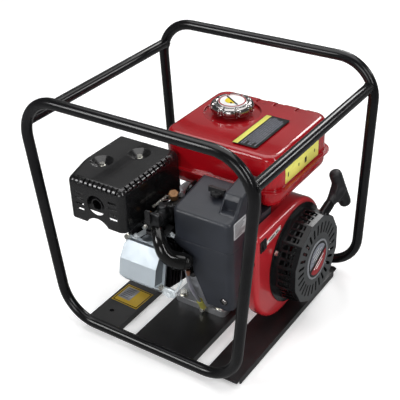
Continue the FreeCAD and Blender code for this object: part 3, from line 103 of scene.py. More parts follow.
area_light("top_softbox", (-0.2, 0.4, 2.7), (0, 0, 0.15), 2.8, 54)
area_light("key_softbox", (-1.35, -1.95, 1.5), (0, 0, 0.2), 0.85, 25)
area_light("right_strip", (2.0, -0.7, 1.5), (0.1, 0, 0.2), 0.25, 18, 1.5)
area_light("front_fill", (0.5, -2.5, 0.7), (0, 0, 0.15), 0.9, 13)
area_light("back_rim", (-0.4, 2.3, 1.9), (0, 0, 0.2), 0.8, 18)
area_light("back_sheen", (-1.3, 1.8, 1.5), (0, 0, 0.2), 1.5, 1.6)
area_light("edge_glint", (1.5, 1.8, 1.3), (0, 0, 0.2), 0.4, 7)


# ---------------------------------------------------------------- materials
# The first colour is painted shadow, laid over the shaded upper front of the cast parts; the second is dust.
PAINTED_SHADOW, DUST = (0.016, 0.016, 0.018), (0.42, 0.40, 0.37)


def graph(name):
    """New node material, its tree and its shader."""
    material = bpy.data.materials.new(name)
    material.use_nodes = True
    tree = material.node_tree
    return material, tree, tree.nodes["Principled BSDF"]


def add(tree, kind, **values):
    """New node; keyword names are properties, or inputs when they start with in_."""
    item = tree.nodes.new("ShaderNode" + kind)
    for key, value in values.items():
        if key.startswith("in_"):
            item.inputs[key[3:].replace("_", " ")].default_value = value
        else:
            setattr(item, key, value)
    return item


def noise(tree, coords, scale, detail=4.0, stretch=None):
    """Noise at features per metre; stretch scales each axis first."""
    source = coords
    if stretch:
        mapping = add(tree, "Mapping")
        mapping.inputs["Scale"].default_value = stretch
        tree.links.new(coords, mapping.inputs["Vector"])
        source = mapping.outputs["Vector"]
    item = add(tree, "TexNoise", in_Scale=scale, in_Detail=detail)
    tree.links.new(source, item.inputs["Vector"])
    return item.outputs["Fac"]


def spread(tree, value, low, high, start=0.3, end=0.7):
    """Value mapped from start..end to low..high, clamped."""
    item = add(tree, "MapRange")
    for key, number in (("From Min", start), ("From Max", end), ("To Min", low), ("To Max", high)):
        item.inputs[key].default_value = number
    tree.links.new(value, item.inputs["Value"])
    return item.outputs["Result"]


def blend_colours(tree, factor, first, second):
    """Colour from first to second; each is a colour or another node's output."""
    item = add(tree, "Mix", data_type="RGBA")
    for key, colour in ((6, first), (7, second)):
        if isinstance(colour, tuple):
            item.inputs[key].default_value = (*colour[:3], 1)
        else:
            tree.links.new(colour, item.inputs[key])
    tree.links.new(factor, item.inputs[0])
    return item.outputs[2]


def multiply(tree, first, second):
    item = add(tree, "Math", operation="MULTIPLY")
    tree.links.new(first, item.inputs[0])
    if isinstance(second, float):
        item.inputs[1].default_value = second
    else:
        tree.links.new(second, item.inputs[1])
    return item.outputs[0]


def surface(name, colour, rough, metallic=0.0, vary=0.25, grain=700.0, bump=0.15, depth=0.0002,
            coat=0.0, edge=None, radius=0.0008, stretch=None, specular=0.5, dust=0.0, sheen=0.0,
            cloud=14.0, soot=None, painted_side_shade=None):
    """Layered finish: clouded colour, grain in roughness and bump, softened and worn edges, settled dust.

    soot gives the ranges of Y and Z over which the front is painted darker, as painted shadow;
    painted_side_shade is the painted shade given to the faces that are turned to +X or +Z.
    """
    material, tree, shader = graph(name)
    link = tree.links.new
    coords = add(tree, "TexCoord").outputs["Object"]
    big = noise(tree, coords, cloud, 5.0)
    fine = noise(tree, coords, grain, 6.0, stretch)
    dark = tuple(c * (1 - vary) for c in colour)
    light = tuple(min(1, c * (1 + vary)) for c in colour)
    tone = blend_colours(tree, spread(tree, big, 0, 1, 0.35, 0.65), dark, light)
    soft = add(tree, "Bevel", samples=4, in_Radius=radius)
    geometry = add(tree, "NewGeometry")
    if edge:
        facing = add(tree, "VectorMath", operation="DOT_PRODUCT")
        link(soft.outputs["Normal"], facing.inputs[0])
        link(geometry.outputs["Normal"], facing.inputs[1])
        worn = spread(tree, facing.outputs["Value"], 1, 0, 0.8, 0.98)
        patchy = spread(tree, noise(tree, coords, 60, 6.0), 0, 1, 0.5, 0.62)
        tone = blend_colours(tree, multiply(tree, worn, patchy), tone, edge)
    # Painted shadow: the upper front is blended towards near-black, for the shade that falls over the
    # cylinder's fins.
    if soot:
        place = add(tree, "SeparateXYZ")
        link(coords, place.inputs[0])
        forward = spread(tree, place.outputs["Y"], 1, 0, *soot[0])
        raised = spread(tree, place.outputs["Z"], 0, 1, *soot[1])
        tone = blend_colours(tree, multiply(tree, forward, raised), tone, PAINTED_SHADOW)
    # Painted shade: faces turned to +X or +Z are blended towards a darker colour, for the shade they take.
    if painted_side_shade:
        facing = add(tree, "SeparateXYZ")
        link(geometry.outputs["Normal"], facing.inputs[0])
        for part in ("X", "Z"):
            tone = blend_colours(tree, spread(tree, facing.outputs[part], 0, 0.85, 0.75, 0.95), tone, painted_side_shade)
    if dust:
        parts = add(tree, "SeparateXYZ")
        link(geometry.outputs["Normal"], parts.inputs[0])
        upward = spread(tree, parts.outputs["Z"], 0, dust, 0.4, 1.0)
        patchy = spread(tree, noise(tree, coords, 40, 6.0), 0.2, 1)
        tone = blend_colours(tree, multiply(tree, upward, patchy), tone, DUST)
    link(tone, shader.inputs["Base Color"])
    patches = spread(tree, noise(tree, coords, cloud * 4, 5.0), rough * 0.86, min(1, rough * 1.16))
    link(multiply(tree, patches, spread(tree, fine, 0.95, 1.06)), shader.inputs["Roughness"])
    shader.inputs["Metallic"].default_value = metallic
    shader.inputs["Specular IOR Level"].default_value = specular
    shader.inputs["Coat Weight"].default_value = coat
    shader.inputs["Coat Roughness"].default_value = 0.04
    shader.inputs["Sheen Weight"].default_value = sheen
    relief = add(tree, "Bump", in_Strength=bump, in_Distance=depth)
    link(fine, relief.inputs["Height"])
    link(soft.outputs["Normal"], relief.inputs["Normal"])
    link(relief.outputs["Normal"], shader.inputs["Normal"])
    return material


def make_studio():
    """Dim room that is paler below, where it stands for the pale table in reflections."""
    world = bpy.data.worlds.new("studio")
    world.use_nodes = True
    bpy.context.scene.world = world
    tree = world.node_tree
    parts = add(tree, "SeparateXYZ")
    tree.links.new(add(tree, "TexCoord").outputs["Generated"], parts.inputs[0])
    tree.links.new(spread(tree, parts.outputs["Z"], 0.30, 0.075, -0.5, 0.15),
                   tree.nodes["Background"].inputs["Strength"])
    tree.nodes["Background"].inputs["Color"].default_value = (1, 1, 1, 1)


make_studio()

MATERIALS = {
    "frame_black": surface("enamel_black", (0.0055, 0.0055, 0.0062), 0.19, coat=0.05, grain=260,
                           bump=0.05, vary=0.3, specular=0.34, edge=(0.02, 0.02, 0.021), dust=0.002),
    "plate_black": surface("satin_black", (0.010, 0.0100, 0.0108), 0.42, grain=420, bump=0.25, vary=0.5,
                           edge=(0.09, 0.085, 0.08), dust=0.008),
    "zinc": surface("zinc_plate", (0.66, 0.65, 0.6), 0.27, metallic=1, grain=500, vary=0.15,
                    radius=0.0005, edge=(0.85, 0.84, 0.8)),
    # Cast parts: painted shadow over their upper front.
    "cast": surface("cast_aluminium", (0.50, 0.51, 0.53), 0.42, metallic=0.9, grain=700, bump=0.3,
                    vary=0.16, depth=0.0002, radius=0.001, edge=(0.7, 0.7, 0.7),
                    soot=((-0.035, -0.012), (0.030, 0.045))),
    # Valve cover: painted shade on its faces turned to +X or +Z.
    "cover_cast": surface("painted_casting", (0.50, 0.56, 0.605), 0.38, metallic=0.35, grain=400,
                          bump=0.02, vary=0.05, edge=(0.24, 0.26, 0.29), painted_side_shade=(0.05, 0.06, 0.068),
                          radius=0.0016, cloud=22, coat=0.1),
    "sooty": surface("sooty_casting", (0.045, 0.046, 0.048), 0.34, metallic=0.75, grain=500, bump=0.25,
                     vary=0.5, radius=0.0014, edge=(0.3, 0.3, 0.3), cloud=60),
    "bright": surface("bright_plate", (0.70, 0.75, 0.78), 0.30, metallic=0.35, grain=500, bump=0.1,
                      vary=0.12, radius=0.0008, edge=(0.25, 0.27, 0.29)),
    "steel": surface("ground_steel", (0.5, 0.5, 0.5), 0.25, metallic=1, grain=500, vary=0.12,
                     stretch=(6, 1, 1), edge=(0.75, 0.75, 0.75)),
    "iron": surface("cast_iron", (0.13, 0.13, 0.135), 0.5, metallic=0.8, grain=800, bump=0.5, vary=0.3,
                    edge=(0.35, 0.35, 0.35)),
    "gasket": surface("fibre_gasket", (0.2, 0.2, 0.21), 0.8, grain=1500, bump=0.5),
    "muffler": surface("heat_black", (0.0055, 0.0055, 0.006), 0.22, grain=520, bump=0.2, vary=0.35,
                       coat=0.35, edge=(0.035, 0.034, 0.033), dust=0.002, radius=0.0009),
    "black_plastic": surface("black_plastic", (0.010, 0.010, 0.011), 0.30, grain=1100, bump=0.2,
                             vary=0.3, dust=0.006),
    "charcoal": surface("charcoal_plastic", (0.0205, 0.0235, 0.0315), 0.40, grain=1500, bump=0.22,
                        vary=0.2, radius=0.0024, dust=0.008, edge=(0.03, 0.032, 0.042), cloud=20),
    "paper": surface("filter_paper", (0.5, 0.42, 0.28), 0.85, grain=900, bump=0.5),
    "tank_red": surface("tank_enamel", (0.35, 0.0035, 0.008), 0.17, coat=0.5, grain=160, bump=0.03,
                        vary=0.09, radius=0.002, dust=0.004, cloud=9),
    "housing_red": surface("housing_enamel", (0.46, 0.018, 0.025), 0.22, coat=0.4, grain=200,
                           bump=0.045, vary=0.1, radius=0.0018, dust=0.004, cloud=9),
    "rubber": surface("moulded_rubber", (0.0155, 0.0155, 0.0175), 0.46, grain=900, bump=0.3, vary=0.25,
                      dust=0.008),
    "gloss_rubber": surface("glossy_rubber", (0.005, 0.005, 0.005), 0.14, grain=200, bump=0.06,
                            vary=0.3),
    "earth_grey": surface("wire_grey", (0.15, 0.155, 0.175), 0.38, grain=500, bump=0.15),
    "wire_lilac": surface("wire_lilac", (0.15, 0.13, 0.20), 0.38, grain=500, bump=0.15),
    "wire_pale": surface("wire_pale", (0.30, 0.30, 0.33), 0.38, grain=500, bump=0.15),
    "sleeve": surface("sleeve_yellow", (0.50, 0.48, 0.10), 0.4, grain=500, bump=0.15, vary=0.2),
    "rope": surface("braided_rope", (0.62, 0.61, 0.56), 0.8, grain=900, bump=0.6, depth=0.0005,
                    stretch=(1, 3, 1), sheen=0.3),
    "chrome": surface("chrome_plate", (0.36, 0.34, 0.335), 0.19, metallic=1, grain=240, bump=0.04,
                      vary=0.08, radius=0.0012),
    "brass": surface("aged_brass", (0.19, 0.10, 0.045), 0.45, metallic=0.7, grain=600, bump=0.2,
                     vary=0.3),
    "copper": surface("copper", (0.42, 0.19, 0.12), 0.34, metallic=0.9, grain=600, bump=0.2, vary=0.25),
    "print_white": surface("print_white", (0.86, 0.86, 0.85), 0.4, grain=300, bump=0.05, vary=0.06,
                           specular=0.2),
    "print_silver": surface("print_silver", (0.26, 0.27, 0.29), 0.4, metallic=0.2, grain=300, bump=0.05,
                            vary=0.1),
    "print_gold": surface("print_gold", (0.58, 0.38, 0.03), 0.38, grain=300, bump=0.05, vary=0.12,
                          specular=0.2),
    "print_yellow": surface("print_yellow", (0.80, 0.62, 0.035), 0.38, grain=300, bump=0.05, vary=0.09,
                            specular=0.2),
    "print_lemon": surface("print_lemon", (0.80, 0.76, 0.16), 0.38, grain=300, bump=0.05, vary=0.09,
                           specular=0.2),
    "print_black": surface("print_black", (0.010, 0.010, 0.011), 0.35, grain=300, bump=0.05, vary=0.2,
                           specular=0.2),
    "print_grey": surface("print_grey", (0.21, 0.22, 0.26), 0.4, grain=300, bump=0.05, vary=0.15,
                          specular=0.2),
    "print_ash": surface("print_ash", (0.42, 0.42, 0.43), 0.4, grain=300, bump=0.05, vary=0.12,
                         specular=0.2),
    "print_red": surface("print_red", (0.30, 0.012, 0.018), 0.35, grain=300, bump=0.05, vary=0.12,
                         specular=0.2),
    "weld": surface("painted_weld", (0.008, 0.008, 0.009), 0.26, grain=300, bump=0.4, depth=0.0006,
                    vary=0.3, coat=0.4),
}


def recoil_finish(face_start=0.1868, face_end=0.1874):
    """Grained charcoal on the slotted face, glossy black on the sides behind it, by X in metres."""
    material, tree, shader = graph("recoil_plastic")
    link = tree.links.new
    coords = add(tree, "TexCoord").outputs["Object"]
    parts = add(tree, "SeparateXYZ")
    link(coords, parts.inputs[0])
    front = spread(tree, parts.outputs["X"], 0, 1, face_start, face_end)
    fine = noise(tree, coords, 1500, 6.0)
    big = noise(tree, coords, 16, 5.0)
    side = blend_colours(tree, big, (0.004, 0.004, 0.0045), (0.009, 0.009, 0.010))
    face = blend_colours(tree, big, (0.042, 0.045, 0.047), (0.056, 0.059, 0.061))
    link(blend_colours(tree, front, side, face), shader.inputs["Base Color"])
    rough = add(tree, "Mix", data_type="FLOAT")
    link(front, rough.inputs[0])
    link(spread(tree, fine, 0.17, 0.22), rough.inputs[2])
    link(spread(tree, fine, 0.4, 0.52), rough.inputs[3])
    link(rough.outputs[0], shader.inputs["Roughness"])
    shader.inputs["Specular IOR Level"].default_value = 0.28
    soft = add(tree, "Bevel", samples=4, in_Radius=0.0012)
    relief = add(tree, "Bump", in_Strength=0.2, in_Distance=0.0002)
    link(multiply(tree, fine, front), relief.inputs["Height"])
    link(soft.outputs["Normal"], relief.inputs["Normal"])
    link(relief.outputs["Normal"], shader.inputs["Normal"])
    return material


MATERIALS["recoil"] = recoil_finish()

FINISHES = {
    "frame_black": ["front_loop", "rear_loop", "left_crossbar", "right_crossbar"],
    "plate_black": ["left_plate", "middle_plate", "right_plate"],
    "zinc": ["engine_bolts", "cover_bolts", "m5_bolts", "drain_bolt", "flywheel_nut", "throttle_bracket",
             "tank_brackets", "wrist_pin", "spark_plug", "throttle_lever"],
    "cast": ["cylinder_block", "crankcase_cover", "cylinder_head", "piston", "connecting_rod"],
    "sooty": ["carburettor"],
    "cover_cast": ["valve_cover"],
    "steel": ["crankshaft", "crank_gear", "camshaft", "main_bearings", "recoil_spring", "starter_cup",
              "recoil_pulley", "starter_pawls"],
    "iron": ["flywheel"],
    "gasket": ["head_gasket"],
    "muffler": ["muffler_shield", "muffler"],
    "black_plastic": ["choke_lever", "fuel_tap_lever", "insulator", "ignition_coil", "switch_box",
                      "engine_switch", "cooling_fan", "oil_dipstick", "air_cleaner_knob"],
    "charcoal": ["air_cleaner_case", "air_cleaner_cover"],
    "paper": ["filter_element", "tank_strainer"],
    "tank_red": ["fuel_tank"],
    "housing_red": ["blower_housing"],
    "recoil": ["recoil_cover"],
    "rubber": ["starter_handle"],
    "gloss_rubber": ["spark_plug_cap", "ht_lead", "fuel_hose"],
    "earth_grey": ["earth_lead"],
    "rope": ["starter_rope"],
    "chrome": ["fuel_cap"],
}
for finish, names in FINISHES.items():
    for name in names:
        slots = NODES[name].data.materials
        slots.clear()
        slots.append(MATERIALS[finish])


# ---------------------------------------------------------------- mesh helpers (millimetres in, metres out)
def to_object(name, mesh_data, finishes, body, smooth=45):
    """Links a finished bmesh as a piece that rides on a body."""
    mesh = bpy.data.meshes.new(name)
    bmesh.ops.recalc_face_normals(mesh_data, faces=mesh_data.faces)
    mesh_data.to_mesh(mesh)
    mesh_data.free()
    mesh.transform(Matrix.Scale(MM, 4))
    for finish in finishes if isinstance(finishes, (list, tuple)) else [finishes]:
        mesh.materials.append(MATERIALS[finish])
    item = bpy.data.objects.new(name, mesh)
    bpy.context.scene.collection.objects.link(item)
    mesh.shade_smooth()
    if smooth:
        mesh.set_sharp_from_angle(angle=math.radians(smooth))
    if body:
        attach(item, body)
    return item


def frame_of(axis):
    """Two unit vectors square to an axis."""
    axis = Vector(axis).normalized()
    side = axis.orthogonal().normalized()
    return side, axis.cross(side)


def arc_points(radius, angles):
    """Flat (x, y) points of an arc."""
    return [(radius * math.cos(angle), radius * math.sin(angle)) for angle in angles]


def turned(side, other, angle):
    """Direction at an angle from side towards other."""
    return side * math.cos(angle) + other * math.sin(angle)


def skin(mesh, rings, slot_index=0, close=True):
    """Quads between neighbouring rings of vertices, and where close is set a face over each end."""
    count = len(rings[0])
    for first, second in zip(rings, rings[1:]):
        for k in range(count):
            after = (k + 1) % count
            mesh.faces.new((first[k], first[after], second[after], second[k])).material_index = slot_index
    if close:
        mesh.faces.new(rings[0][::-1]).material_index = slot_index
        mesh.faces.new(rings[-1]).material_index = slot_index


def lathe(mesh, origin, axis, profile, sides=48, lobes=None, slot_index=0, close=True):
    """Turns (distance along, radius) pairs about an axis; lobes(angle, radius) may reshape each ring."""
    axis = Vector(axis).normalized()
    side, other = frame_of(axis)
    rings = []
    for along, radius in profile:
        ring = []
        for k in range(sides):
            angle = 2 * math.pi * k / sides
            reach = lobes(angle, radius) if lobes else radius
            ring.append(mesh.verts.new(Vector(origin) + axis * along + turned(side, other, angle) * reach))
        rings.append(ring)
    skin(mesh, rings, slot_index, close)


def sweep(mesh, points, radii, sides=16, slot_index=0):
    """Round tube through points, with one radius or one for each point, closed at both ends."""
    points = [Vector(p) for p in points]
    radii = radii if isinstance(radii, (list, tuple)) else [radii] * len(points)
    tangents = [(points[min(i + 1, len(points) - 1)] - points[max(i - 1, 0)]).normalized()
                for i in range(len(points))]
    side = frame_of(tangents[0])[0]
    rings = []
    for point, tangent, radius in zip(points, tangents, radii):
        side = (side - tangent * side.dot(tangent)).normalized()
        other = tangent.cross(side)
        rings.append([mesh.verts.new(point + turned(side, other, 2 * math.pi * k / sides) * radius)
                      for k in range(sides)])
    skin(mesh, rings, slot_index)


def curve_points(controls, steps=60):
    """Points along a smooth NURBS line that has the given control points."""
    data = bpy.data.curves.new("route", "CURVE")
    data.dimensions = "3D"
    spline = data.splines.new("NURBS")
    spline.points.add(len(controls) - 1)
    for point, place in zip(spline.points, controls):
        point.co = (*place, 1)
    spline.order_u = 3
    spline.use_endpoint_u = True
    spline.resolution_u = max(4, steps // max(1, len(controls) - 1))
    holder = bpy.data.objects.new("route", data)
    mesh = bpy.data.meshes.new_from_object(holder)
    found = [v.co.copy() for v in mesh.vertices]
    bpy.data.objects.remove(holder)
    bpy.data.curves.remove(data)
    bpy.data.meshes.remove(mesh)
    return found


def plate(mesh, origin, across, up, width, height, thick, corner=1.0, slot_index=0, lift=0.0):
    """Rounded rectangular plate standing off a surface; origin is its lower left corner."""
    across, up = Vector(across).normalized(), Vector(up).normalized()
    normal = across.cross(up)
    corner = min(corner, width / 2 - 0.01, height / 2 - 0.01)
    outline = []
    for cx, cy, start in ((width - corner, corner, -90), (width - corner, height - corner, 0),
                          (corner, height - corner, 90), (corner, corner, 180)):
        for step in range(4):
            angle = math.radians(start + 30 * step)
            outline.append((cx + corner * math.cos(angle), cy + corner * math.sin(angle)))
    base = Vector(origin) + normal * lift
    soft = thick * 0.35
    layers = [(0.0, 0.0), (thick - soft, 0.0), (thick, soft)]
    rings = []
    for height_now, shrink in layers:
        ring = []
        for x, y in outline:
            x += -shrink if x > width / 2 else shrink
            y += -shrink if y > height / 2 else shrink
            ring.append(mesh.verts.new(base + across * x + up * y + normal * height_now))
        rings.append(ring)
    skin(mesh, rings, slot_index)


def label(name, origin, across, up, width, height, finishes, marks, corner):
    """Thin printed plate; marks are (x, y, width, height, finish number) bars that stand a little proud."""
    mesh = bmesh.new()
    plate(mesh, origin, across, up, width, height, 0.35, corner)
    for x, y, mark_width, mark_height, finish in marks:
        place = Vector(origin) + Vector(across).normalized() * x + Vector(up).normalized() * y
        plate(mesh, place, across, up, mark_width, mark_height, 0.12, 0.4, finish, 0.3)
    to_object(name, mesh, finishes, "root")


def hex_head(mesh, origin, axis, flats, height, slot_index=0, washer=True):
    """Hexagon head with a chamfered top on a round washer."""
    axis = Vector(axis).normalized()
    if washer:
        lathe(mesh, origin, axis, [(0, flats * 0.62), (0.8, flats * 0.62), (1.1, flats * 0.58)], 32,
              slot_index=slot_index)
    reach = flats / math.sqrt(3)
    side, other = frame_of(axis)
    rings = []
    steps = ((1.1, 1.0), (height - 0.6, 1.0), (height, 0.86), (height, 0.45), (height - 0.5, 0.36))
    for along, scale in steps:
        centre = Vector(origin) + axis * along
        rings.append([mesh.verts.new(centre + turned(side, other, math.radians(60 * k)) * reach * scale)
                      for k in range(6)])
    skin(mesh, rings, slot_index)


def moulded(name, mesh_data, voxel, rounds, finish, body):
    """Runs overlapping forms into one soft moulded skin."""
    rough = to_object(name + "_rough", mesh_data, finish, None)
    remesh = rough.modifiers.new("skin", "REMESH")
    remesh.mode = "VOXEL"
    remesh.voxel_size = voxel * MM
    smooth = rough.modifiers.new("soften", "SMOOTH")
    smooth.factor = 0.6
    smooth.iterations = rounds
    graph_now = bpy.context.evaluated_depsgraph_get()
    mesh = bpy.data.meshes.new_from_object(rough.evaluated_get(graph_now))
    bpy.data.objects.remove(rough)
    item = bpy.data.objects.new(name, mesh)
    bpy.context.scene.collection.objects.link(item)
    mesh.shade_smooth()
    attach(item, body)
    return item


# ---------------------------------------------------------------- floor and backdrop
def pale_material(name, scale, dark, light, rough, glow):
    """Nearly white finish with a faint cloud and a little light of its own."""
    material, tree, shader = graph(name)
    coords = add(tree, "TexCoord").outputs["Object"]
    tree.links.new(blend_colours(tree, noise(tree, coords, scale), (dark,) * 3, (light,) * 3),
                   shader.inputs["Base Color"])
    shader.inputs["Roughness"].default_value = rough
    shader.inputs["Emission Color"].default_value = (1, 1, 1, 1)
    shader.inputs["Emission Strength"].default_value = glow
    return material, shader


def stage_object(name, points, faces, material):
    """Links a studio surface that is left out of reflections."""
    mesh = bpy.data.meshes.new(name)
    mesh.from_pydata(points, [], faces)
    mesh.materials.append(material)
    item = bpy.data.objects.new(name, mesh)
    bpy.context.scene.collection.objects.link(item)
    item.visible_glossy = False
    return item


def make_floor(half=8):
    material, shader = pale_material("studio_floor", 3, 0.93, 0.96, rough=0.55, glow=0.3)
    shader.inputs["Specular IOR Level"].default_value = 0.2
    corners = [(-half, -half, 0), (half, -half, 0), (half, half, 0), (-half, half, 0)]
    return stage_object("floor", corners, [(0, 1, 2, 3)], material)


def make_backdrop(sides=72):
    """Round pale wall far behind the object, curved in at its foot; it lights and shades nothing."""
    material, _ = pale_material("studio_wall", 2, 0.90, 0.94, rough=0.6, glow=0.85)
    rings = [(4.2, 0.002), (5.2, 0.12), (5.8, 0.5), (6.1, 1.2), (6.1, 7.0)]
    step = 2 * math.pi / sides
    points = [(reach * math.cos(step * k), reach * math.sin(step * k), height)
              for reach, height in rings for k in range(sides)]
    faces = [(row * sides + k, row * sides + (k + 1) % sides, (row + 1) * sides + (k + 1) % sides,
              (row + 1) * sides + k) for row in range(len(rings) - 1) for k in range(sides)]
    wall = stage_object("backdrop", points, faces, material)
    wall.data.shade_smooth()
    wall.visible_diffuse = False
    wall.visible_shadow = False
    return wall


make_floor()
make_backdrop()


# ---------------------------------------------------------------- fuel cap
def make_fuel_cap():
    """Chrome cap with eight dips round its rim, and the printed disc on top."""
    low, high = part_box("fuel_cap")
    centre = (low + high) / 2 / MM
    bottom, top = low.z / MM, high.z / MM
    radius = (high.x - low.x) / 2 / MM

    def lobed(angle, reach):
        if reach < radius * 0.8:
            return reach
        wave = math.cos(8 * angle)
        dip = max(0.0, wave - 0.55) / 0.45
        return reach - dip ** 1.3 * radius * 0.13

    height = top - bottom
    profile = [(0, radius * 0.94), (0.8, radius * 0.985), (2.2, radius)]
    profile += [(height * rise, radius * reach) for rise, reach in (
        (0.55, 1), (0.72, 0.985), (0.84, 0.95), (0.93, 0.88), (0.97, 0.80), (0.975, 0.74), (0.93, 0.72),
        (0.93, 0.70), (0.97, 0.68))]
    mesh = bmesh.new()
    lathe(mesh, (centre.x, centre.y, bottom), (0, 0, 1), profile, 192, lobed)
    cap = to_object("fuel_cap_lobed", mesh, "chrome", "cap", 60)
    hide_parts("fuel_cap")
    mesh = bmesh.new()
    disc_z = bottom + height * 0.97

    def above_disc(lift):
        return Vector((centre.x, centre.y, disc_z + lift))

    along_z = (0, 0, 1)
    white, yellow, black, red = range(4)
    lathe(mesh, above_disc(0), along_z, [(0, 24.6), (0.5, 24.6), (0.7, 24.2)], 96, slot_index=white)
    lathe(mesh, above_disc(0.6), along_z, [(0, 24.1), (0.35, 24.0)], 96, slot_index=red)
    lathe(mesh, above_disc(0.8), along_z, [(0, 21.6), (0.35, 21.5)], 96, slot_index=white)
    turn = math.radians(-32)
    across = Vector((math.cos(turn), math.sin(turn), 0))
    up = Vector((-math.sin(turn), math.cos(turn), 0))
    half_disc = arc_points(12.6, [math.radians(angle) for angle in range(180, 361, 10)])
    for lift in (1.15, 1.5):
        ring = [mesh.verts.new(above_disc(lift) + across * x + up * y) for x, y in half_disc]
        mesh.faces.new(ring).material_index = yellow
    plate(mesh, above_disc(1.1) - across * 20 - up * 1.5, across, up, 40, 3.0, 0.7, 1.0, black)
    lathe(mesh, above_disc(1.1) + across * 8 - up * 6, along_z, [(0, 2.2), (0.7, 2.1)], 24, slot_index=black)
    to_object("fuel_cap_disc", mesh, ["print_white", "print_yellow", "print_black", "print_red"], "cap")


make_fuel_cap()


# ---------------------------------------------------------------- labels
def bars(x, y, width, rows, pitch, height, finish, ragged=0.35):
    """Rows of plain bars of uneven length."""
    return [(x, y + row * pitch, width * (1 - ragged * rng.random()), height, finish)
            for row in range(rows)]


def words(x, y, width, length):
    """Columns of short plain bars along a label, in place of its small print."""
    marks = []
    for column in range(7):
        along = y + (12 if column % 3 == 2 else 0)
        while along < y + length - 8:
            run = rng.uniform(4, 13)
            marks.append((x + column * width / 7, along, width / 14, min(run, y + length - along), 2))
            along += run + rng.uniform(1.2, 2.2)
    return marks


def make_labels():
    """Labels with plain bars: on the tank's top and side, a base channel, the housing and the cleaner."""
    along_x, along_y, along_z = (1, 0, 0), (0, 1, 0), (0, 0, 1)
    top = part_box("fuel_tank")[1].z / MM
    label("tank_top_label", (50, 6, top), along_x, along_y, 46, 114,
          ["print_black", "print_lemon", "print_grey"],
          [(1.2, 1.2, 9.5, 111.5, 1)] + words(14, 5, 29, 104), 4)
    tank_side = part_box("fuel_tank")[1].x / MM - 7
    label("tank_side_label", (tank_side, 22, 268), along_y, along_z, 116, 31,
          ["print_lemon", "print_black"],
          [(8, 10, 3.4, 8, 1), (44, 12, 3, 6, 1), (66, 8, 7, 10, 1), (100, 12, 3, 6, 1)], 1)
    border = [(1.6, 1.6, 54.8, 1.9, 1), (1.6, 46.4, 54.8, 1.9, 1), (1.6, 1.6, 1.9, 46.7, 1),
              (54.5, 1.6, 1.9, 46.7, 1)]
    label("base_label", (-139, -113, BASE_TOP), (0.94, -0.03, 0), (0.03, 1, 0), 58, 50,
          ["print_gold", "print_black", "print_silver"],
          border + [(4.6, 12, 27, 33, 2)] + bars(8, 16, 20, 6, 4.8, 1.5, 1), 0.8)
    housing_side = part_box("blower_housing")[1].x / MM
    border = [(0.8, 0.6, 46.4, 1.0, 1), (0.8, 7.4, 46.4, 1.0, 1), (0.8, 0.6, 1, 7.8, 1),
              (46.2, 0.6, 1, 7.8, 1)]
    label("switch_label", (housing_side, -47, 189.5), (0, 0.993, 0.115), (0, -0.115, 0.993), 48, 9,
          ["print_white", "print_red", "print_black"],
          border + [(9, 3.0, 19, 3.2, 2), (31, 3.0, 9, 3.2, 2)], 0.8)
    cleaner_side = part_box("air_cleaner_case")[1].x / MM
    label("cleaner_label", (cleaner_side, -106, 226), along_y, along_z, 36, 30,
          ["print_ash", "print_black"], bars(3, 3, 30, 8, 3.2, 1.5, 1), 0.8)


make_labels()


# ---------------------------------------------------------------- starter badge, handle and rope
def make_badge():
    """Ringed round badge on the starter, two coloured halves with rows of plain bars across them."""
    centre = Vector((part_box("recoil_cover")[1].x / MM, CRANK.y, CRANK.z))
    outward = Vector((1, 0, 0))
    silver, black, grey, red, white = range(5)
    mesh = bmesh.new()
    rim = [(-0.2, 36.5), (1.2, 36.5), (2.0, 35.8), (2.2, 34.6), (1.9, 33.4), (1.0, 33.0)]
    lathe(mesh, centre, outward, rim, 96, slot_index=silver)
    lathe(mesh, centre, outward, [(0.2, 33.0), (1.5, 33.0), (1.7, 32.5)], 96, slot_index=black)
    tilt = math.radians(24)
    across = Vector((0, math.cos(tilt), math.sin(tilt)))
    up = Vector((0, -math.sin(tilt), math.cos(tilt)))
    for first, last, finish in ((8, 172, grey), (188, 352, red)):
        start, end = math.radians(first), math.radians(last)
        arc = arc_points(29, [start + (end - start) * k / 24 for k in range(25)])
        for lift in (1.75, 2.1):
            ring = [mesh.verts.new(centre + outward * lift + across * x + up * y) for x, y in arc]
            mesh.faces.new(ring).material_index = finish
    for row, wide in enumerate((22, 34, 26, 0, 38, 24)):
        if wide:
            corner = centre + outward * 2.05 - across * wide / 2 + up * (18 - 6.5 * row)
            plate(mesh, corner, across, up, wide, 2.1, 0.3, 0.8, white)
    finishes = ["print_silver", "print_black", "print_grey", "print_red", "print_white"]
    to_object("starter_badge", mesh, finishes, "root")


def rope_line():
    """Start and direction of the starter rope."""
    way = Vector((0, math.cos(ROPE_RISE), math.sin(ROPE_RISE)))
    normal = Vector((0, -math.sin(ROPE_RISE), math.cos(ROPE_RISE)))
    return Vector((ROPE_X, CRANK.y, CRANK.z)) + normal * ROPE_OFFSET, way


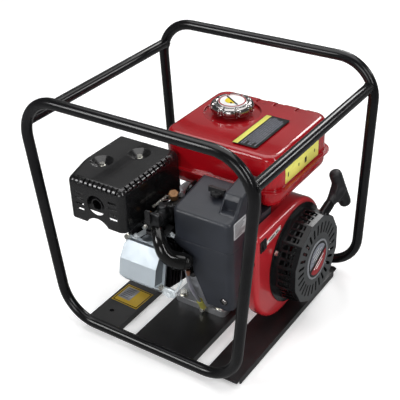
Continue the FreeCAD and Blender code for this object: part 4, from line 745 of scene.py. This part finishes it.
def make_handle(stem_start=99, grip_reach=42.4, lean=0.22, grip_half=39.6):
    """T-shaped grip: ringed stem, web and a bar that leans out of the rope's plane."""
    start, way = rope_line()
    across = Vector((lean, way.z, -way.y)).normalized()
    aside = across.cross(way)
    base, middle = start + way * stem_start, start + way * (stem_start + grip_reach)
    mesh = bmesh.new()
    stem = [(0, 6.5), (1.5, 7.9), (4, 9.0), (5, 8.0), (6, 9.2), (9, 9.5), (10, 8.6), (11, 10.0),
            (20, 11.0), (30, 12.2), (38, 12.6), (42, 11.0)]
    lathe(mesh, base, way, stem, 40)
    grip = [(0, 4.3), (1.2, 8.0), (4, 10.5), (9, 11.5), (18, 11.4), (30, 11.3), (39.6, 11.3),
            (49, 11.3), (61, 11.4), (70, 11.5), (75.2, 10.5), (78, 8.0), (79.2, 4.3)]
    lathe(mesh, middle - across * grip_half, across, grip, 40)
    web = [base + way * 13 - across * 8.5, base + way * 13 + across * 8.5, base + way * 30 + across * 17,
           middle + across * 27, middle - across * 27, base + way * 30 - across * 17]
    sides = [[mesh.verts.new(point + aside * reach) for point in web] for reach in (-7.5, 7.5)]
    mesh.faces.new(sides[0])
    mesh.faces.new(sides[1][::-1])
    for k in range(len(web)):
        after = (k + 1) % len(web)
        mesh.faces.new((sides[0][k], sides[1][k], sides[1][after], sides[0][after]))
    handle = moulded("starter_grip", mesh, 1.0, 8, "rubber", "handle")
    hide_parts("starter_handle")


def make_rope(count=120):
    """Rope with the ripple of its braid."""
    start, way = rope_line()
    mesh = bmesh.new()
    profile = [(ROPE_LENGTH * k / count, 1.9 + 0.1 * math.sin(k * 1.7)) for k in range(count + 1)]
    lathe(mesh, start, way, profile, 14)
    rope = to_object("starter_rope_braid", mesh, "rope", None)
    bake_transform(rope)
    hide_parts("starter_rope")


make_badge()
make_handle()
make_rope()


# ---------------------------------------------------------------- plug cap and leads
PLUG_WAY = Vector((0.94, -0.12, 0.32)).normalized()
PLUG_X, PLUG_REACH = -10, 183      # of the plug's seat, from the crank's axis along the cylinder
PLUG_SEAT = Vector((PLUG_X, CRANK.y - PLUG_REACH * math.cos(LEAN), CRANK.z + PLUG_REACH * math.sin(LEAN)))


def make_plug_cap():
    """Glossy boot with a cupped rim, its arm over the head, and the copper terminal below it."""
    mesh = bmesh.new()
    boot = [(37, 13.6), (38, 16.4), (41, 16.8), (43, 15.0), (46, 14.6), (56, 14.4), (63, 13.2), (68, 10.4),
            (72, 6.0), (73, 2.0)]
    lathe(mesh, PLUG_SEAT, PLUG_WAY, boot, 44)
    arm = curve_points([(46, -134, 176), (32, -144, 180), (20, -151, 192), (12, -150, 208), (-2, -138, 220),
                        (-20, -118, 222), (-30, -96, 212)])
    sweep(mesh, arm, [15.0 - 6.5 * k / len(arm) for k in range(len(arm))], 28)
    cap = moulded("plug_boot", mesh, 0.9, 4, "gloss_rubber", "root")
    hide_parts("spark_plug_cap")
    mesh = bmesh.new()
    lathe(mesh, (53, -136, 163), (0.15, -0.1, -1), [(0, 3.0), (0.4, 3.6), (5, 3.6), (6, 2.8), (9, 2.6)], 28)
    to_object("plug_clip", mesh, "copper", "root")


def make_earth_lead():
    """Three wires from the plug's clip down to the foot, the yellow sleeve and the bolted terminal."""
    route = [(47, -131, 165), (46, -126, 140), (42, -112, 108), (36, -90, 72), (28, -68, 40), (25, -57, 20)]
    points = curve_points(route, 80)
    mesh = bmesh.new()
    shifts = (Vector((0, 0, 0)), Vector((3.0, -1.4, 0)), Vector((-2.8, -1.8, 0)))
    for finish, shift in enumerate(shifts):
        fan = [point + shift * math.sin(math.pi * min(1, (k + 8) / len(points)))
               for k, point in enumerate(points)]
        sweep(mesh, fan, 2.1, 14, finish)
    lead = to_object("earth_wire", mesh, ["wire_lilac", "earth_grey", "wire_pale"], "root")
    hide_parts("earth_lead")
    low_part = points[int(len(points) * 0.78):]
    mesh = bmesh.new()
    sweep(mesh, low_part, [5.4 - 0.6 * abs(math.sin(k * 0.9)) for k in range(len(low_part))], 18)
    to_object("earth_sleeve", mesh, "sleeve", "root")
    mesh = bmesh.new()
    end = Vector((25, -57.5, 19))
    lathe(mesh, end, (0, -1, 0), [(0.5, 6.2), (0.6, 6.8), (1.9, 6.8), (2.1, 6.2)], 32)
    hex_head(mesh, end + Vector((0, -2, 0)), (0, -1, 0), 8, 5, washer=False)
    to_object("earth_terminal", mesh, "zinc", "root")


make_plug_cap()
make_earth_lead()


# ---------------------------------------------------------------- weld beads on the frame
def weld_ring(mesh, centre, axis, radius, thick, lumps):
    """Ripple weld round a tube."""
    side, other = frame_of(axis)
    count = lumps * 6
    points = [Vector(centre) + turned(side, other, 2 * math.pi * k / count) * radius
              for k in range(count + 1)]
    radii = [thick * (0.85 + 0.25 * abs(math.sin(math.pi * k / 6))) for k in range(count + 1)]
    sweep(mesh, points, radii, 10)


def make_welds():
    """Ripple welds at the crossbars' ends and along the ends of the base channels."""
    mesh = bmesh.new()
    for name in ("left_crossbar", "right_crossbar"):
        low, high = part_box(name)
        x, z = (low.x + high.x) / 2 / MM, (low.z + high.z) / 2 / MM
        for y in (low.y / MM + 3.5, high.y / MM - 3.5):
            weld_ring(mesh, (x, y, z), (0, 1, 0), 9.0, 1.5, 16)
    for name in ("left_plate", "middle_plate", "right_plate"):
        low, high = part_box(name)
        for y in (low.y / MM + 0.6, high.y / MM - 0.6):
            count = int((high.x - low.x) / MM / 3)
            start = low.x / MM + 3
            width = (high.x - low.x) / MM - 6
            points = [(start + width * k / (count * 4), y, BASE_TOP + 0.3) for k in range(count * 4 + 1)]
            radii = [1.3 * (0.8 + 0.3 * abs(math.sin(math.pi * k / 4))) for k in range(len(points))]
            sweep(mesh, points, radii, 8)
    to_object("frame_welds", mesh, "weld", "root")


make_welds()


# ---------------------------------------------------------------- carburettor fittings and small screws
def slab_between(mesh, low, high):
    """Box between two corners, to be run into a moulded form."""
    corners = [mesh.verts.new((x, y, z))
               for x in (low[0], high[0]) for y in (low[1], high[1]) for z in (low[2], high[2])]
    for face in ((0, 1, 3, 2), (4, 6, 7, 5), (0, 4, 5, 1), (2, 3, 7, 6), (0, 2, 6, 4), (1, 5, 7, 3)):
        mesh.faces.new([corners[k] for k in face])


def make_carburettor_body():
    """Cast barrel, float bowl, top cap, air neck and flanges run into one casting."""
    along_x, along_y, along_z = (1, 0, 0), (0, 1, 0), (0, 0, 1)
    mesh = bmesh.new()
    barrel = [(0, 10), (1, 13), (13, 13.4), (16, 10.5), (24, 9.5), (30, 11), (44, 12.5), (52, 12.5),
              (56, 10.5), (71, 10.5)]
    lathe(mesh, (-11.5, -138, 233), along_y, barrel, 40)
    bowl = [(0, 5), (0.6, 11.5), (3, 14.2), (20, 14.8), (21, 16.2), (25, 16.2), (26, 14.6), (33, 12)]
    lathe(mesh, (-20, -84, 201.5), along_z, bowl, 40)
    lathe(mesh, (-11.5, -108, 236), along_z, [(0, 9), (9, 9), (10, 8), (13.5, 8), (14.5, 6.5)], 32)
    lathe(mesh, (-14, -80, 234), along_x, [(0, 9), (8, 13.8), (26.5, 13.8)], 40)
    slab_between(mesh, (-25, -137.6, 217), (2, -133, 249.5))
    slab_between(mesh, (-24, -101, 218), (1, -97, 248))
    slab_between(mesh, (-24, -70, 217), (1, -66.5, 249))
    slab_between(mesh, (-17, -130, 215.5), (-5, -72, 226))
    body = moulded("carburettor_casting", mesh, 0.9, 3, "sooty", "root")
    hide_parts("carburettor")


def make_carburettor_fittings():
    """Brass cap nut and jet, then the rod, the return spring and the flange screws."""
    mesh = bmesh.new()
    hex_head(mesh, (-10, -78, 249), (0.2, -0.3, 1), 15, 12, washer=False)
    lathe(mesh, (-26, -120, 236), (-1, 0, 0), [(0, 3.4), (5, 3.4), (5.6, 2.8)], 20)
    to_object("brass_fittings", mesh, "brass", "root")
    mesh = bmesh.new()
    rod = curve_points([(0, -44, 219), (-2, -62, 226), (-16, -66, 240), (-24, -90, 246)], 40)
    sweep(mesh, rod, 0.8, 8)
    coil = [(-28 + 2.2 * math.cos(k * 0.5), -112 + k * 0.22, 244 + 2.2 * math.sin(k * 0.5))
            for k in range(190)]
    sweep(mesh, coil, 0.45, 6)
    for x in (-24, -2):
        hex_head(mesh, (x, -138.2, 223), (0, -1, 0), 6, 4)
    to_object("carburettor_linkage", mesh, "zinc", "root")


def sheet_cut(mesh, outline, thick, height_at):
    """Flat-cut sheet with a plan outline; height_at(y) gives its underside, so it may slope."""
    skin(mesh, [[mesh.verts.new((x, y, height_at(y) + lift)) for x, y in outline] for lift in (0, thick)])


def make_head_bracket():
    """Bright strap with three arms on the front corner of the head, and the shallow cup beside it."""
    def strap_height(y):
        return 206 + (y + 112) * 0.13

    mesh = bmesh.new()
    arms = [(-64, -114), (-58, -108), (-36, -117), (-27, -108), (-19, -110), (-21, -120), (16, -115),
            (19, -122), (-16, -128), (-28, -131), (-36, -151), (-45, -150), (-38, -127)]
    sheet_cut(mesh, arms, 1.8, strap_height)
    for x, y in ((-58, -112.5), (-40, -146), (11, -119)):
        hex_head(mesh, (x, y, strap_height(y) + 1.6), (0, 0, 1), 6.5, 4)
    cup = [(0, 9.6), (2.6, 11), (3.4, 10.4), (1.6, 7), (1.2, 2)]
    lathe(mesh, (-20, -139, 198), (0, 0, 1), cup, 40, slot_index=1)
    to_object("head_bracket", mesh, ["bright", "cover_cast"], "root")


def make_cover_ear():
    """Screwed ear at the valve cover's lower corner, the strap up from it and the flange's bright rim."""
    across, up = Vector((1, 0, 0)), Vector((0, 0.208, 0.978))
    mesh = bmesh.new()
    plate(mesh, (15, -158.2, 115), across, up, 27, 16, 4, 6.5)
    hex_head(mesh, (32.5, -161, 123), (0, -1, 0.2), 9, 5.5)
    strap = curve_points([(36, -158, 126), (44, -157, 130), (48, -156, 142), (53, -154, 154)], 30)
    sweep(mesh, strap, 2.1, 12)
    plate(mesh, (-60, -158.0, 119.2), across, up, 80, 4.2, 4.4, 1.8)
    to_object("cover_ear", mesh, "bright", "root")


def make_recoil_ribs():
    """Two twelve-sided ribs that cross the windows in the starter cover's sides, and a black ring behind
    them, a painted shade for the inside of the cover.
    """
    corners = [math.radians(15 + 30 * k) for k in range(12)]
    mesh = bmesh.new()
    for x in (163.5, 172.5):
        rings = []
        for place, radius in ((x, 79.6), (x + 2.2, 79.3), (x + 2.2, 75.5), (x, 75.8)):
            rings.append([mesh.verts.new((place, CRANK.y + y, CRANK.z + z))
                          for y, z in arc_points(radius, corners)])
        skin(mesh, rings + rings[:1], close=False)
    to_object("recoil_ribs", mesh, "recoil", "root", 20)
    # Painted shade: a black ring behind the windows keeps the inside of the cover dark.
    mesh = bmesh.new()
    washer = [(0, 45), (0, 77.4), (1, 77.4), (1, 45), (0, 45)]
    lathe(mesh, (148.9, CRANK.y, CRANK.z), (1, 0, 0), washer, 72, close=False)
    bmesh.ops.remove_doubles(mesh, verts=mesh.verts, dist=0.001)
    to_object("recoil_shade_ring", mesh, "black_plastic", "root", 30)


def make_cleaner_screws():
    """Two small screws in the roof of the air cleaner's cover."""
    mesh = bmesh.new()
    screw = [(0, 4.4), (0.8, 4.4), (2.2, 3.4), (2.8, 2.0), (2.0, 1.6), (2.0, 0.6)]
    for place in ((34, -34, 269.6), (50, -58, 265.5)):
        lathe(mesh, place, (0, -0.17, 1), screw, 28)
    to_object("cleaner_screws", mesh, "zinc", "root")


def make_hole_shade_cups():
    """Dark cups behind the holes of the outer base channels, a painted shade that keeps the holes dark."""
    mesh = bmesh.new()
    for x in (-117, 145.7):
        for y in (-139, 139):
            lathe(mesh, (x, y, 1.2), (0, 0, 1), [(0, 7.4), (6.6, 7.4), (7.2, 6.8)], 6)
    to_object("hole_shade_cups", mesh, "weld", "root", 30)


def make_case_screw():
    """Domed screw at the foot of the air cleaner's case."""
    low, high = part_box("air_cleaner_case")
    centre = Vector((high.x / MM - 14, low.y / MM + 2.2, low.z / MM + 16))
    mesh = bmesh.new()
    lathe(mesh, centre, (0, -1, 0), [(0, 5.6), (0.9, 5.6), (2.4, 4.4), (3.0, 2.6), (3.1, 0.8)], 40)
    to_object("case_screw", mesh, "chrome", "root")


def make_head_shroud():
    """Black pressed sheet over the cylinder's top fins, between the muffler and the air cleaner."""
    section = ((-64, -10), (-60, -3), (-52, 0), (-22, 1), (6, 0), (14, -3), (18, -10))
    slope = ((-38, 0), (-60, 2), (-75, 7), (-95, 14), (-112, 24), (-116, 32))
    top, rise, thick = 204, 0.12, 1.4
    mesh = bmesh.new()
    rings = []
    for y, lifted in slope:
        pairs = []
        for x, lower in section:
            z = top + lower + lifted * rise
            pairs.append((mesh.verts.new((x, y, z)), mesh.verts.new((x, y, z - thick))))
        rings.append([outer for outer, _ in pairs] + [inner for _, inner in reversed(pairs)])
    skin(mesh, rings, close=False)
    for ring in (rings[0], rings[-1]):
        for j in range(len(section) - 1):
            mesh.faces.new((ring[j], ring[j + 1], ring[-2 - j], ring[-1 - j]))
    to_object("head_shroud", mesh, "muffler", "root", 70)


make_carburettor_body()
make_carburettor_fittings()
make_head_bracket()
make_cover_ear()
make_recoil_ribs()
make_cleaner_screws()
make_hole_shade_cups()
make_case_screw()
make_head_shroud()
